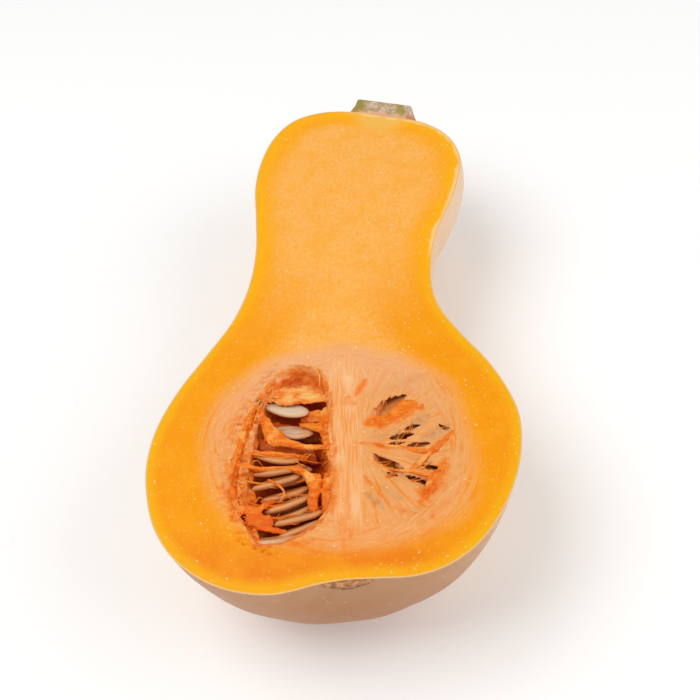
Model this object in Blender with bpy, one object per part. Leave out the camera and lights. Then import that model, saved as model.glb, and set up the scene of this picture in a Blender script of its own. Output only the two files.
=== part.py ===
"""Half of a butternut squash, cut lengthwise, lying on its rind with the cut face up.

Metres, +Z up. The stem end is towards +Y and the blossom end towards -Y. The origin is
under the middle of the footprint, on the surface that the half rests on.
"""
import math
import random

import bmesh
import bpy
from mathutils import Vector

MM = 0.001

# Driving dimensions of the fruit
CUT_HEIGHT = 53.5 * MM
GAP = 0.3 * MM
COLUMNS = 32
STEPS = 2
LOBES = 10
LOBE_DEPTH = 0.012
LOBES_START = -8.0
LOBES_FADE = 40.0
FLAT_WAIST = 0.35
SCAR_RADIUS = 7.0
SCAR_RISE = 0.9

# Sections from the blossom end to the stem end, in mm: the left and the right edge of
# the cut face as x, y, and how deep the fruit is below the cut there
SECTIONS = (
    (3.9, -119.6, 3.9, -119.6, 0.0),
    (-4.7, -120.3, 13.3, -120.0, 9.0),
    (-19.7, -122.5, 24.3, -120.3, 20.5),
    (-35.7, -118.5, 35.3, -117.3, 31.5),
    (-49.2, -108.8, 45.8, -109.8, 41.0),
    (-57.7, -96.3, 54.8, -97.3, 48.0),
    (-61.9, -82.3, 60.9, -82.3, 52.8),
    (-63.1, -68.3, 63.1, -66.3, 55.0),
    (-60.7, -53.8, 60.8, -53.3, 53.6),
    (-54.2, -38.3, 55.3, -39.3, 50.0),
    (-45.2, -23.3, 46.8, -24.3, 46.0),
    (-36.2, -7.3, 40.3, -9.3, 41.5),
    (-31.0, 9.7, 39.3, 7.7, 40.0),
    (-29.0, 28.7, 43.3, 28.7, 41.5),
    (-29.6, 48.7, 51.1, 47.7, 47.5),
    (-30.5, 67.7, 56.5, 68.7, 54.3),
    (-28.2, 85.7, 55.3, 81.2, 52.5),
    (-22.7, 101.2, 51.1, 90.7, 43.0),
    (-13.7, 111.7, 44.8, 97.6, 30.5),
    (-0.7, 115.1, 40.3, 101.0, 20.0),
    (13.3, 112.7, 35.3, 103.3, 11.0),
    (24.3, 108.0, 24.3, 108.0, 0.0),
)

# Stem stub: centres on the cut plane, the direction along its seat, and its radii, in mm
STEM_SEAT = (25.6, 107.0)
STEM_TOP = (26.9, 117.6)
STEM_ALONG = (0.922, -0.388)
STEM_RADII = ((-0.22, 15.2), (0.0, 15.6), (0.25, 13.9), (0.55, 12.9), (0.9, 12.9), (1.0, 12.2))
STEM_RIBS = 5
STEM_RIB_DEPTH = 0.09
STEM_SIDES = 24

# Seed pockets: their outlines in the cut plane and the hollow inside their pulp, in mm
LEFT_POCKET = (
    (-9.8, -32.1), (-4.4, -34.7), (-1.5, -40.5), (-0.2, -51.0), (-0.5, -62.3), (0.2, -73.4),
    (-0.4, -86.0), (-1.6, -94.5), (-5.9, -99.9), (-12.5, -103.6), (-19.0, -105.2),
    (-25.0, -105.0), (-27.2, -99.6), (-31.2, -92.3), (-34.4, -85.0), (-34.3, -77.4),
    (-32.6, -65.5), (-28.9, -52.0), (-24.6, -43.8), (-19.2, -35.6), (-13.9, -32.0),
)
LEFT_HOLLOW = (
    (-10.4, -34.2), (-6.4, -36.6), (-3.5, -41.6), (-2.3, -51.0), (-2.6, -62.3), (-2.2, -73.4),
    (-2.8, -85.0), (-4.2, -92.6), (-8.0, -96.8), (-13.2, -99.8), (-18.4, -101.0),
    (-22.0, -99.6), (-23.6, -95.0), (-25.6, -90.0), (-27.4, -84.0), (-27.6, -77.4),
    (-26.6, -66.5), (-24.8, -55.0), (-21.8, -46.4), (-17.6, -38.4), (-13.6, -34.6),
)
RIGHT_POCKET = (
    (13.3, -44.4), (23.3, -41.4), (32.8, -46.9), (40.0, -56.4), (41.6, -68.4), (39.3, -81.4),
    (35.3, -92.9), (27.3, -100.9), (18.3, -100.9), (12.1, -91.4), (9.3, -77.4), (9.1, -61.4),
)
RIGHT_HOLLOW = (
    (15.1, -47.4), (23.5, -44.2), (31.0, -49.1), (36.9, -57.6), (38.3, -68.4), (36.1, -80.5),
    (32.1, -90.9), (25.6, -97.4), (19.6, -97.4), (14.5, -89.4), (11.9, -77.2), (11.7, -61.8),
)
POCKET_POINTS = 28
POCKET_RINGS = 5
BOWL_FULLNESS = 0.75
LEFT_DEPTHS = (31.0, 26.5)
RIGHT_DEPTHS = (24.0, 20.5)
RIM_DROP = 0.6
FLAT = 0.999  # smallest upward share of a normal on the cut face
CUTTER_RISE = 5.0

# Seeds: size in mm, and rows as depth, count, first and last place round the hollow
SEED_LENGTH = 17.0
SEED_WIDTH = 9.0
SEED_THICKNESS = 2.6
SEED_SIDES = 6
SEED_RINGS = 4
SEED_TAPER = 0.22
TIP_SUNK = 1.6
STRING_RADIUS = 1.1
LEFT_ROWS = ((7.0, 10, 0.905, 0.50), (15.5, 7, 0.86, 0.55))
RIGHT_ROWS = ((7.5, 7, 0.20, 0.545), (14.0, 5, 0.26, 0.52))

# The seeds' directions at the top and the bottom of a row, and how far they lie from level
LEFT_AIMS = (-18.0, 16.0)
RIGHT_AIMS = (222.0, 138.0)
LEFT_TILTS = (14.0, 46.0)
RIGHT_TILTS = (18.0, 30.0)
TILT_SETTLES = 2.5

# Strands of pulp: depth in mm, half width, half thickness, and the places they pass
LEFT_STRANDS = (
    (2.6, 2.6, 0.9, ((-28.0, -45.5), (-19.0, -45.8), (-9.0, -47.5), (-1.5, -48.3))),
    (2.2, 1.7, 0.9, ((-27.5, -47.0), (-22.6, -55.0), (-17.5, -63.0), (-9.5, -66.8), (-1.2, -68.8))),
    (2.6, 1.2, 0.8, ((-30.0, -72.0), (-22.0, -74.4), (-13.0, -75.0), (-8.0, -79.5), (-6.0, -88.0),
                     (-4.0, -95.0))),
    (2.4, 0.8, 0.7, ((-28.5, -82.5), (-19.0, -80.0), (-15.6, -85.5), (-20.5, -92.0), (-26.0, -95.0))),
)
RIB_COUNT = 9
RIB_HUB = (5.5, -71.5)
RIB_HUB_SPREAD = 13.0
RIB_REACH = 42.0
RIB_FAN = 64.0
RIB_DEPTH = 1.5
RIB_HALF_WIDTHS = (1.2, 2.3)
RIB_HALF_THICKNESS = 0.8
STRAND_SIDES = 6


def clear_scene():
    for obj in list(bpy.data.objects):
        bpy.data.objects.remove(obj, do_unlink=True)


def material(name, colour, roughness):
    mat = bpy.data.materials.new(name)
    mat.use_nodes = True
    shader = mat.node_tree.nodes["Principled BSDF"]
    shader.inputs["Base Color"].default_value = (*colour, 1.0)
    shader.inputs["Roughness"].default_value = roughness
    shader.inputs["Metallic"].default_value = 0.0
    return mat


def spline(points, count, closed=False):
    """A smooth curve through the points, as count points, or count + 1 if it is open."""
    rows = [Vector(p) for p in points]
    spans = len(rows) if closed else len(rows) - 1
    if not closed:
        rows = [2 * rows[0] - rows[1]] + rows + [2 * rows[-1] - rows[-2]]
    result = []
    for k in range(count if closed else count + 1):
        place = min(k * spans / count, spans - 1e-9)
        i = int(place)
        t = place - i
        first = i - 1 if closed else i
        a, b, c, d = (rows[(first + j) % len(rows)] for j in range(4))
        result.append(0.5 * (2 * b + (c - a) * t + (2 * a - 5 * b + 4 * c - d) * t * t
                             + (3 * b - a - 3 * c + d) * t ** 3))
    return result


def loft(name, rings, mat):
    """A closed solid through rings of points. A ring of one point is a pole."""
    bm = bmesh.new()
    rows = [[bm.verts.new(p) for p in ring] for ring in rings]
    for low, high in zip(rows, rows[1:]):
        count = max(len(low), len(high))
        for i in range(count):
            j = (i + 1) % count
            corners = [low[i % len(low)], low[j % len(low)], high[j % len(high)], high[i % len(high)]]
            bm.faces.new(list(dict.fromkeys(corners)))
    for row in (rows[0], rows[-1]):
        if len(row) > 1:
            bm.faces.new(row)
    bmesh.ops.recalc_face_normals(bm, faces=bm.faces)
    mesh = bpy.data.meshes.new(name)
    bm.to_mesh(mesh)
    bm.free()
    mesh.materials.append(mat)
    obj = bpy.data.objects.new(name, mesh)
    bpy.context.scene.collection.objects.link(obj)
    return obj


def combine(obj, others, operation):
    """Applies one Boolean with a group of other objects, which are then removed."""
    group = bpy.data.collections.new(obj.name + "_tools")
    bpy.context.scene.collection.children.link(group)
    for other in others:
        group.objects.link(other)
    modifier = obj.modifiers.new(operation.lower(), "BOOLEAN")
    modifier.operation = operation
    modifier.operand_type = "COLLECTION"
    modifier.collection = group
    modifier.solver = "EXACT"
    mesh = bpy.data.meshes.new_from_object(obj.evaluated_get(bpy.context.evaluated_depsgraph_get()))
    obj.modifiers.clear()
    mesh.name = obj.name
    obj.data = mesh
    for other in others:
        bpy.data.objects.remove(other, do_unlink=True)
    bpy.data.collections.remove(group)


def keep_main_body(obj):
    """Drops the loose scraps that a cut leaves."""
    bm = bmesh.new()
    bm.from_mesh(obj.data)
    left = set(bm.faces)
    scraps = []
    biggest = []
    while left:
        island = []
        edge_of = [left.pop()]
        while edge_of:
            face = edge_of.pop()
            island.append(face)
            for edge in face.edges:
                for near in edge.link_faces:
                    if near in left:
                        left.remove(near)
                        edge_of.append(near)
        if len(island) > len(biggest):
            scraps.extend(biggest)
            biggest = island
        else:
            scraps.extend(island)
    bmesh.ops.delete(bm, geom=scraps, context="FACES")
    bm.to_mesh(obj.data)
    bm.free()


def shade(obj, degrees=35.0):
    obj.data.shade_smooth()
    obj.data.set_sharp_from_angle(angle=math.radians(degrees))


def section(row):
    """One ring of the fruit: round the rind from the right edge of the cut to the left."""
    left = Vector(row[0:2])
    right = Vector(row[2:4])
    depth = row[4]
    middle = (left + right) / 2
    half = (right - left).length / 2
    along = (right - left).normalized()
    centre_drop = (depth * depth - half * half) / (2 * depth)
    if centre_drop < 0:
        centre_drop *= FLAT_WAIST
    tall = depth - centre_drop
    wide = half / math.sqrt(1 - (centre_drop / tall) ** 2)
    start = math.asin(centre_drop / tall)
    bulb = min(max((LOBES_START - middle.y) / LOBES_FADE, 0.0), 1.0)
    ring = []
    for k in range(COLUMNS + 1):
        u = k / COLUMNS
        angle = start - u * (math.pi + 2 * start)
        lobe = math.cos(LOBES * (angle + math.pi / 2)) * math.sin(math.pi * u)
        swell = 1 - LOBE_DEPTH * bulb * lobe
        x, y = middle + along * (wide * math.cos(angle) * swell)
        z = -centre_drop + tall * math.sin(angle) * swell
        ring.append(scar(x, y, z))
    return ring


def scar(x, y, z):
    """Raises the low corky button at the blossom end, and sets the rind flat where it rests."""
    pole = SECTIONS[0]
    away = math.hypot(x - pole[0], z)
    if y < 0 and away < SCAR_RADIUS:
        y -= SCAR_RISE * min((SCAR_RADIUS - away) / 2, 1.0)
    return Vector((x * MM, y * MM, max(CUT_HEIGHT + z * MM, 0.0)))


def bowl(name, outline, depth, rim, mat, inset=0.0):
    """A bowl-shaped solid that hangs below an outline in the cut plane."""
    points = spline(outline, POCKET_POINTS, closed=True)
    centre = sum(points, Vector((0, 0))) / len(points)
    if inset:
        inner = []
        for i, p in enumerate(points):
            side = points[(i + 1) % len(points)] - points[i - 1]
            normal = Vector((-side.y, side.x)).normalized()
            if normal.dot(centre - p) < 0:
                normal = -normal
            inner.append(p + normal * inset)
        points = inner
    rings = [[Vector((p.x * MM, p.y * MM, CUT_HEIGHT + rim * MM)) for p in points]]
    for k in range(0 if rim > 0 else 1, POCKET_RINGS):
        angle = k / POCKET_RINGS * math.pi / 2
        drop = (depth - inset) * math.sin(angle)
        size = math.cos(angle) ** BOWL_FULLNESS
        ring = [centre + (p - centre) * size for p in points]
        rings.append([Vector((p.x * MM, p.y * MM, CUT_HEIGHT - drop * MM)) for p in ring])
    rings.append([Vector((centre.x * MM, centre.y * MM, CUT_HEIGHT - (depth - inset) * MM))])
    return loft(name, rings, mat)


def wall_place(outline, depth, turn, drop):
    """A place on the wall of a bowl: turn goes round its outline, drop is how deep."""
    points = spline(outline, POCKET_POINTS, closed=True)
    centre = sum(points, Vector((0, 0))) / len(points)
    place = (turn % 1.0) * len(points)
    i = int(place)
    edge = points[i].lerp(points[(i + 1) % len(points)], place - i)
    size = math.cos(math.asin(drop / depth)) ** BOWL_FULLNESS
    flat = centre + (edge - centre) * size
    return Vector((flat.x, flat.y, -drop))


def to_world(place):
    return Vector((place.x * MM, place.y * MM, CUT_HEIGHT + place.z * MM))


def seed(name, tip, along, tilt, mat, extra=0.0):
    """One flat teardrop seed. Its pointed end is at the tip, and tilt turns it about its length."""
    level = Vector((-along.y, along.x, 0)).normalized()
    if level.y < 0:
        level = -level
    lean = math.radians(tilt)
    across = level * math.cos(lean) + Vector((0, 0, -1)) * math.sin(lean)
    across = (across - along * across.dot(along)).normalized()
    flat = along.cross(across)
    rings = [[to_world(tip - along * extra)]]
    for k in range(1, SEED_RINGS + 1):
        place = math.pi * k / (SEED_RINGS + 1)
        t = (1 - math.cos(place)) / 2
        fullness = math.sin(place) * t ** SEED_TAPER
        half = SEED_WIDTH / 2 * fullness + extra
        thick = SEED_THICKNESS / 2 * math.sqrt(fullness) + extra
        middle = tip + along * (SEED_LENGTH * t)
        ring = []
        for i in range(SEED_SIDES):
            angle = 2 * math.pi * i / SEED_SIDES
            side = across * (half * math.cos(angle)) + flat * (thick * math.sin(angle))
            ring.append(to_world(middle + side))
        rings.append(ring)
    rings.append([to_world(tip + along * (SEED_LENGTH + extra))])
    return loft(name, rings, mat)


def tube(name, places, half_width, half_thickness, mat, points=9):
    """A flattened strand along a smooth line, wide in the level direction."""
    points = spline(places, points)
    rings = []
    for i, p in enumerate(points):
        ahead = points[min(i + 1, len(points) - 1)] - points[max(i - 1, 0)]
        level = Vector((-ahead.y, ahead.x, 0))
        level = level.normalized() if level.length > 1e-6 else Vector((1, 0, 0))
        up = ahead.normalized().cross(level)
        ring = []
        for k in range(STRAND_SIDES):
            angle = 2 * math.pi * (k + 0.5) / STRAND_SIDES
            ring.append(to_world(p + level * (half_width * math.cos(angle))
                                 + up * (half_thickness * math.sin(angle))))
        rings.append(ring)
    return loft(name, rings, mat)


def seed_plan(hollow, depth, rows, aims, tilts, draw):
    """Tips, directions and tilts of a pocket's seeds, row by row down its outer wall."""
    plan = []
    for number, (drop, count, first, last) in enumerate(rows):
        row = []
        for i in range(count):
            t = i / (count - 1)
            aim = math.radians(aims[0] + (aims[1] - aims[0]) * t + draw.uniform(-4, 4))
            along = Vector((math.cos(aim), math.sin(aim), draw.uniform(-0.06, 0.1))).normalized()
            tip = wall_place(hollow, depth, first + (last - first) * t, drop) - along * TIP_SUNK
            settled = min(TILT_SETTLES * t, 1.0)
            tilt = tilts[0] + (tilts[1] - tilts[0]) * settled + draw.uniform(-5, 5)
            row.append((tip, along, tilt))
        plan += row if number % 2 == 0 else row[::-1]
    return plan


def lay_cut_face(fruit):
    """One flat face over the cut, so that it stops at the notch of the blossom end."""
    bm = bmesh.new()
    bm.from_mesh(fruit.data)
    strips = [face for face in bm.faces if abs(face.normal.z) > FLAT and
              face.calc_center_median().z > CUT_HEIGHT - GAP]
    bmesh.ops.delete(bm, geom=strips, context="FACES")
    bmesh.ops.contextual_create(bm, geom=[edge for edge in bm.edges if edge.is_boundary])
    bmesh.ops.recalc_face_normals(bm, faces=bm.faces)
    bm.to_mesh(fruit.data)
    bm.free()


def make_fruit(rind, flesh):
    rows = spline(SECTIONS, STEPS * (len(SECTIONS) - 1))
    rings = []
    for row in rows:
        if row[4] < 0.5:
            pole = scar(row[0], row[1], 0.0)
            rings.append([pole])
        else:
            rings.append(section(row))
    fruit = loft("fruit_half", rings, rind)
    lay_cut_face(fruit)
    fruit.data.materials.append(flesh)
    for face in fruit.data.polygons:
        if face.normal.z > FLAT:
            face.material_index = 1
    cutters = [
        bowl("left_cutter", LEFT_POCKET, LEFT_DEPTHS[0], CUTTER_RISE, flesh),
        bowl("right_cutter", RIGHT_POCKET, RIGHT_DEPTHS[0], CUTTER_RISE, flesh),
        stem_body("seat_cutter", flesh, GAP / MM, above=CUTTER_RISE),
    ]
    combine(fruit, cutters, "DIFFERENCE")
    shade(fruit)
    return fruit


def stem_body(name, mat, extra=0.0, above=0.0):
    """The half stub. With extra and above, it is the cutter for the stub's seat."""
    seat = Vector(STEM_SEAT)
    up = Vector(STEM_TOP) - seat
    along = Vector(STEM_ALONG).normalized()
    rings = []
    for share, radius in STEM_RADII:
        lower = extra / up.length if share < 0 else 0.0
        centre = seat + up * (share - lower)
        ring = []
        for k in range(STEM_SIDES + 1):
            turn = math.pi * k / STEM_SIDES
            r = radius * (1 + STEM_RIB_DEPTH * math.cos(STEM_RIBS * (turn - math.pi / 2))) + extra
            flat = centre + along * (r * math.cos(turn))
            ring.append(to_world(Vector((flat.x, flat.y, -r * math.sin(turn)))))
        ring[0].z += above * MM
        ring[-1].z += above * MM
        rings.append(ring)
    return loft(name, rings, mat)


def make_stem(mat):
    stem = stem_body("stem", mat)
    shade(stem, 50.0)
    return stem


def seed_objects(plan, mat, extra=0.0):
    parts = [seed(f"seed_{i}", *place, mat, extra) for i, place in enumerate(plan)]
    tips = [tip + along * (0.8 * TIP_SUNK) for tip, along, tilt in plan]
    radius = STRING_RADIUS + extra
    for i, (a, b) in enumerate(zip(tips, tips[1:])):
        parts.append(tube(f"link_{i}", (a, b), radius, radius, mat, points=1))
    return parts


def make_seeds(name, plan, mat):
    parts = seed_objects(plan, mat)
    seeds = parts[0]
    seeds.name = name
    combine(seeds, parts[1:], "UNION")
    keep_main_body(seeds)
    shade(seeds, 50.0)
    return seeds


def make_pulp(name, pocket, hollow, depths, strands, plan, mat):
    """Pulp of one pocket: the lining and its strands, clear of the seeds and the flesh."""
    clear = GAP / MM
    pulp = bowl(name, pocket, depths[0], -RIM_DROP, mat, inset=clear)
    combine(pulp, [bowl("hollow", hollow, depths[1], CUTTER_RISE, mat)], "DIFFERENCE")
    combine(pulp, strands, "UNION")
    combine(pulp, [bowl("envelope", pocket, depths[0], 0.0, mat, inset=clear)], "INTERSECT")
    combine(pulp, seed_objects(plan, mat, extra=clear), "DIFFERENCE")
    keep_main_body(pulp)
    shade(pulp, 50.0)
    return pulp


def left_strands(mat):
    strands = []
    for i, (depth, half_width, half_thickness, path) in enumerate(LEFT_STRANDS):
        places = [Vector((x, y, -depth)) for x, y in path]
        strands.append(tube(f"strand_{i}", places, half_width, half_thickness, mat))
    return strands


def right_ribs(mat, draw):
    """The web: ribs that fan from the middle wall to the outer wall of the pocket."""
    ribs = []
    for i in range(RIB_COUNT):
        t = i / (RIB_COUNT - 1)
        angle = math.radians(RIB_FAN * (1 - 2 * t) + draw.uniform(-3, 3))
        start = Vector((RIB_HUB[0], RIB_HUB[1] + RIB_HUB_SPREAD * (0.5 - t), -RIB_DEPTH))
        end = start + Vector((math.cos(angle), math.sin(angle), 0)) * RIB_REACH
        sag = Vector((0, draw.uniform(-1.5, 1.5), -0.4))
        places = (start, start.lerp(end, 0.35) + sag, start.lerp(end, 0.7) + sag, end)
        width = draw.uniform(*RIB_HALF_WIDTHS)
        ribs.append(tube(f"rib_{i}", places, width, RIB_HALF_THICKNESS, mat))
    return ribs


def main():
    clear_scene()
    draw = random.Random(11)
    rind = material("rind", (0.72, 0.48, 0.26), 0.45)
    flesh = material("flesh", (0.90, 0.42, 0.05), 0.40)
    pulp = material("pulp", (0.80, 0.22, 0.03), 0.45)
    seed_coat = material("seed_coat", (0.80, 0.62, 0.42), 0.45)
    cork = material("stem", (0.36, 0.33, 0.20), 0.80)
    make_fruit(rind, flesh)
    make_stem(cork)
    left = seed_plan(LEFT_HOLLOW, LEFT_DEPTHS[1], LEFT_ROWS, LEFT_AIMS, LEFT_TILTS, draw)
    right = seed_plan(RIGHT_HOLLOW, RIGHT_DEPTHS[1], RIGHT_ROWS, RIGHT_AIMS, RIGHT_TILTS, draw)
    make_pulp("pulp_left", LEFT_POCKET, LEFT_HOLLOW, LEFT_DEPTHS, left_strands(pulp), left, pulp)
    make_pulp("pulp_right", RIGHT_POCKET, RIGHT_HOLLOW, RIGHT_DEPTHS, right_ribs(pulp, draw), right, pulp)
    make_seeds("seeds_left", left, seed_coat)
    make_seeds("seeds_right", right, seed_coat)


main()
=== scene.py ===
# %% [markdown]
# # Half of a butternut squash, cut side up
# A squash half is a few very different surfaces close together: a thin waxy rind, moist
# smooth flesh, a ring of fibres round the seeds, wet strings of pulp, and flat pale seeds.
# Each one is its own piece here, made round the solid model that is loaded first.

# %% Load the solid model
import math
import random

import bmesh
import bpy
import numpy as np
from mathutils import Matrix, Vector, kdtree, noise


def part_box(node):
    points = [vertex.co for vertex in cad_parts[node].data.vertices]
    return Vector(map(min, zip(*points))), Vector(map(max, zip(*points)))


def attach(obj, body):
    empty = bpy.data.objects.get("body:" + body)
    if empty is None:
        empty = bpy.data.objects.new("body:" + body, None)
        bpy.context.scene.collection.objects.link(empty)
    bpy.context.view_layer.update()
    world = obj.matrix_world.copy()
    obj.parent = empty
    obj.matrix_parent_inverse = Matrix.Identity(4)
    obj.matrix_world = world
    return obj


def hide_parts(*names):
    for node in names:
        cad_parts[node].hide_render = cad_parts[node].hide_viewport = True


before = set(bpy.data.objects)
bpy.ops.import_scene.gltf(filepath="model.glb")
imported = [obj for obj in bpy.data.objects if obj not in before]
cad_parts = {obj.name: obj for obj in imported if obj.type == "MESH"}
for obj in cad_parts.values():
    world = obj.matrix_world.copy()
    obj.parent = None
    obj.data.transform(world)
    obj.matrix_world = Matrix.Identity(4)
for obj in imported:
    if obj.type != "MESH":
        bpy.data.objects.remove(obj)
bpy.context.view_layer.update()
MM = 0.001
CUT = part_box("fruit_half")[1].z / MM
print("cut face is", round(CUT, 2), "mm above the table")

# %% [markdown]
# ## The camera
# The photograph looks down on the cut face from in front of the blossom end, turned a
# little. The distance and the lens are the pair that makes both the outline of the cut
# and the edge of the underside fall where they do in the picture.

# %% Set the camera
CAMERA_PLACE = Vector((35.2, -271.9, 330.6)) * MM
CAMERA_AIM = Vector((7.3, -28.3, 53.5)) * MM
CAMERA_ROLL = math.radians(-10.77)
CAMERA_LENS = 53.14

camera_data = bpy.data.cameras.new("camera")
camera_data.lens = CAMERA_LENS
camera_data.sensor_width = 36.0
camera_data.clip_start = 0.01
camera = bpy.data.objects.new("camera", camera_data)
bpy.context.scene.collection.objects.link(camera)
look = (CAMERA_AIM - CAMERA_PLACE).to_track_quat("-Z", "Y").to_matrix().to_4x4()
camera.matrix_world = Matrix.Translation(CAMERA_PLACE) @ look @ Matrix.Rotation(CAMERA_ROLL, 4, "Z")
bpy.context.scene.camera = camera
bpy.context.scene.view_settings.view_transform = "Standard"
print("the camera is", round((CAMERA_AIM - CAMERA_PLACE).length / MM), "mm from its aim")

# %% [markdown]
# ## Smooth lines
# Most outlines here are a few chosen points with a smooth curve through them. This
# helper gives that curve as an array of points, open or closed.

# %% Make a smooth line through points
def smooth_line(points, steps, closed=False):
    rows = np.array(points, float)
    if closed:
        rows = np.vstack([rows[-1:], rows, rows[:2]])
    else:
        rows = np.vstack([2 * rows[0] - rows[1], rows, 2 * rows[-1] - rows[-2]])
    t = (np.arange(steps) / steps)[:, None]
    line = []
    for a, b, c, d in zip(rows, rows[1:], rows[2:], rows[3:]):
        line.append(0.5 * (2 * b + (c - a) * t + (2 * a - 5 * b + 4 * c - d) * t ** 2
                           + (3 * b - a - 3 * c + d) * t ** 3))
    if not closed:
        line.append(rows[-2][None])
    return np.vstack(line)


# %% [markdown]
# ## The shape of the fruit
# A butternut is a bulb with a neck, and this one leans. Each section below gives the left
# and the right edge of the cut face and how deep the fruit is under it. The rows of the
# skin are arcs through the two edges and the lowest point.

# %% Sections of the fruit
SECTIONS = (
    (3.9, -119.6, 3.9, -119.6, 0.0), (-4.7, -120.3, 13.3, -120.0, 9.0),
    (-19.7, -122.5, 24.3, -120.3, 20.5), (-35.7, -118.5, 35.3, -117.3, 31.5),
    (-49.2, -108.8, 45.8, -109.8, 41.0), (-57.7, -96.3, 54.8, -97.3, 48.0),
    (-61.9, -82.3, 60.9, -82.3, 52.8), (-63.1, -68.3, 63.1, -66.3, 55.0),
    (-60.7, -53.8, 60.8, -53.3, 53.6), (-54.2, -38.3, 55.3, -39.3, 50.0),
    (-45.2, -23.3, 46.8, -24.3, 46.0), (-36.2, -7.3, 40.3, -9.3, 41.5), (-31.0, 9.7, 39.3, 7.7, 40.0),
    (-29.0, 28.7, 43.3, 28.7, 41.5), (-29.6, 48.7, 51.1, 47.7, 47.5), (-30.5, 67.7, 56.5, 68.7, 54.3),
    (-28.2, 85.7, 55.3, 81.2, 52.5), (-22.7, 101.2, 51.1, 90.7, 43.0), (-13.7, 111.7, 44.8, 97.6, 30.5),
    (-0.7, 115.1, 40.3, 101.0, 20.0), (13.3, 112.7, 35.3, 103.3, 11.0), (24.3, 108.0, 24.3, 108.0, 0.0),
)
ROW_STEPS = 32
COARSE_STEP = 4
FINE_ROWS = (-113.0, -20.0)
FLAT_WAIST = 0.35
LOBES = 10
LOBE_DEPTH = 0.012
MIN_HALF = 1.3
rows = smooth_line(SECTIONS, ROW_STEPS)
half_widths = np.linalg.norm(rows[:, 2:4] - rows[:, 0:2], axis=1) / 2
middles = (rows[:, 1] + rows[:, 3]) / 2
fine = (middles > FINE_ROWS[0]) & (middles < FINE_ROWS[1]) & (half_widths > 30)
keep = (half_widths > MIN_HALF) & (fine | (np.arange(len(rows)) % COARSE_STEP == 0))
keep[0] = keep[-1] = True
rows = rows[keep]
outline = np.vstack([rows[:, 0:2], rows[::-1, 2:4]])
print("the skin has", len(rows), "rows")


# %% The grid of the skin
def arc(row, columns):
    """Points from the right edge to the left edge under the fruit."""
    left, right = np.array(row[0:2]), np.array(row[2:4])
    half = np.linalg.norm(right - left) / 2
    middle = (left + right) / 2
    if half < 0.01:
        return np.tile([middle[0], middle[1], 0.0], (columns + 1, 1))
    along = (right - left) / (2 * half)
    depth = row[4]
    drop = (depth * depth - half * half) / (2 * depth)
    drop *= 1.0 if drop > 0 else FLAT_WAIST
    tall = depth - drop
    wide = half / math.sqrt(1 - (drop / tall) ** 2)
    start = math.asin(drop / tall)
    u = np.linspace(0, 1, columns + 1)
    angle = start - u * (math.pi + 2 * start)
    bulb = np.clip((-8.0 - middle[1]) / 40.0, 0, 1)
    swell = 1 - LOBE_DEPTH * bulb * np.cos(LOBES * (angle + math.pi / 2)) * np.sin(math.pi * u)
    flat = middle + np.outer(wide * np.cos(angle) * swell, along)
    return np.column_stack([flat, np.maximum(-drop + tall * np.sin(angle) * swell, -CUT)])


SKIN_COLUMNS = 128
skin = np.array([arc(row, SKIN_COLUMNS) for row in rows])
skin_out = np.cross(np.gradient(skin, axis=0), np.gradient(skin, axis=1))
skin_out[:, [0, -1], 2] = 0.0
if skin_out[len(rows) // 2, SKIN_COLUMNS // 2, 2] > 0:
    skin_out = -skin_out
skin_out[0], skin_out[-1] = (0, -1, 0), (0, 1, 0)
skin_out /= np.linalg.norm(skin_out, axis=2, keepdims=True)


def skin_inside(depth):
    """The skin moved inwards by a depth in mm, one number or a grid of them."""
    return skin - skin_out * (np.asarray(depth)[..., None] if np.ndim(depth) else depth)


# %% [markdown]
# ## Wrapping a grid
# A grid is the simplest mesh to control: every point has a column and a row. Moving each
# point to its place on a ring of the fruit, and welding the points that meet, gives a
# closed skin with clean rows. The same helper makes the pockets and the pulp.

# %% Wrap a grid round a set of rings
def wrap_into(bm, rings, top=-0.03):
    """rings: array of rows x columns x 3, in mm above or below the cut. Ends may be poles."""
    count_rows, count_columns = rings.shape[0] - 1, rings.shape[1] - 1
    made = bmesh.ops.create_grid(bm, x_segments=count_columns, y_segments=count_rows, size=0.5)["verts"]
    for v in made:
        i = round((v.co.x + 0.5) * count_columns)
        j = round((v.co.y + 0.5) * count_rows)
        x, y, z = rings[j, i].tolist()
        v.co = (x * MM, y * MM, (CUT + min(z, top)) * MM)
    bmesh.ops.remove_doubles(bm, verts=made, dist=1e-7)


def wrap(name, rings, top=-0.03):
    bm = bmesh.new()
    wrap_into(bm, rings, top)
    bmesh.ops.recalc_face_normals(bm, faces=bm.faces)
    return finished(name, bm)


def finished(name, bm, sharp=40.0):
    mesh = bpy.data.meshes.new(name)
    bm.to_mesh(mesh)
    bm.free()
    mesh.shade_smooth()
    mesh.set_sharp_from_angle(angle=math.radians(sharp))
    piece = bpy.data.objects.new(name, mesh)
    bpy.context.scene.collection.objects.link(piece)
    return piece


# %% [markdown]
# ## The rind
# The rind of a ripe butternut is under a millimetre thick. On the cut it shows as a pale
# line. It could be a coat of colour on the flesh, but then that line would be missing, so
# it is a shell of its own: out along the skin, in over the rim and back along the inside.

# %% Rind
SKIN_CLEAR = 0.1
RIND_THICKNESS = 0.55
RIM_DROP = 0.1


def dent(x, y, z):
    """How far the rind sinks at a place, in mm: shallow dents and finer waves."""
    if z > -1.0:
        return 0.0
    spot = Vector((x, y, z))
    return 0.16 + 0.14 * noise.noise(spot / 22.0) + 0.05 * noise.noise(spot / 5.0)


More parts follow.
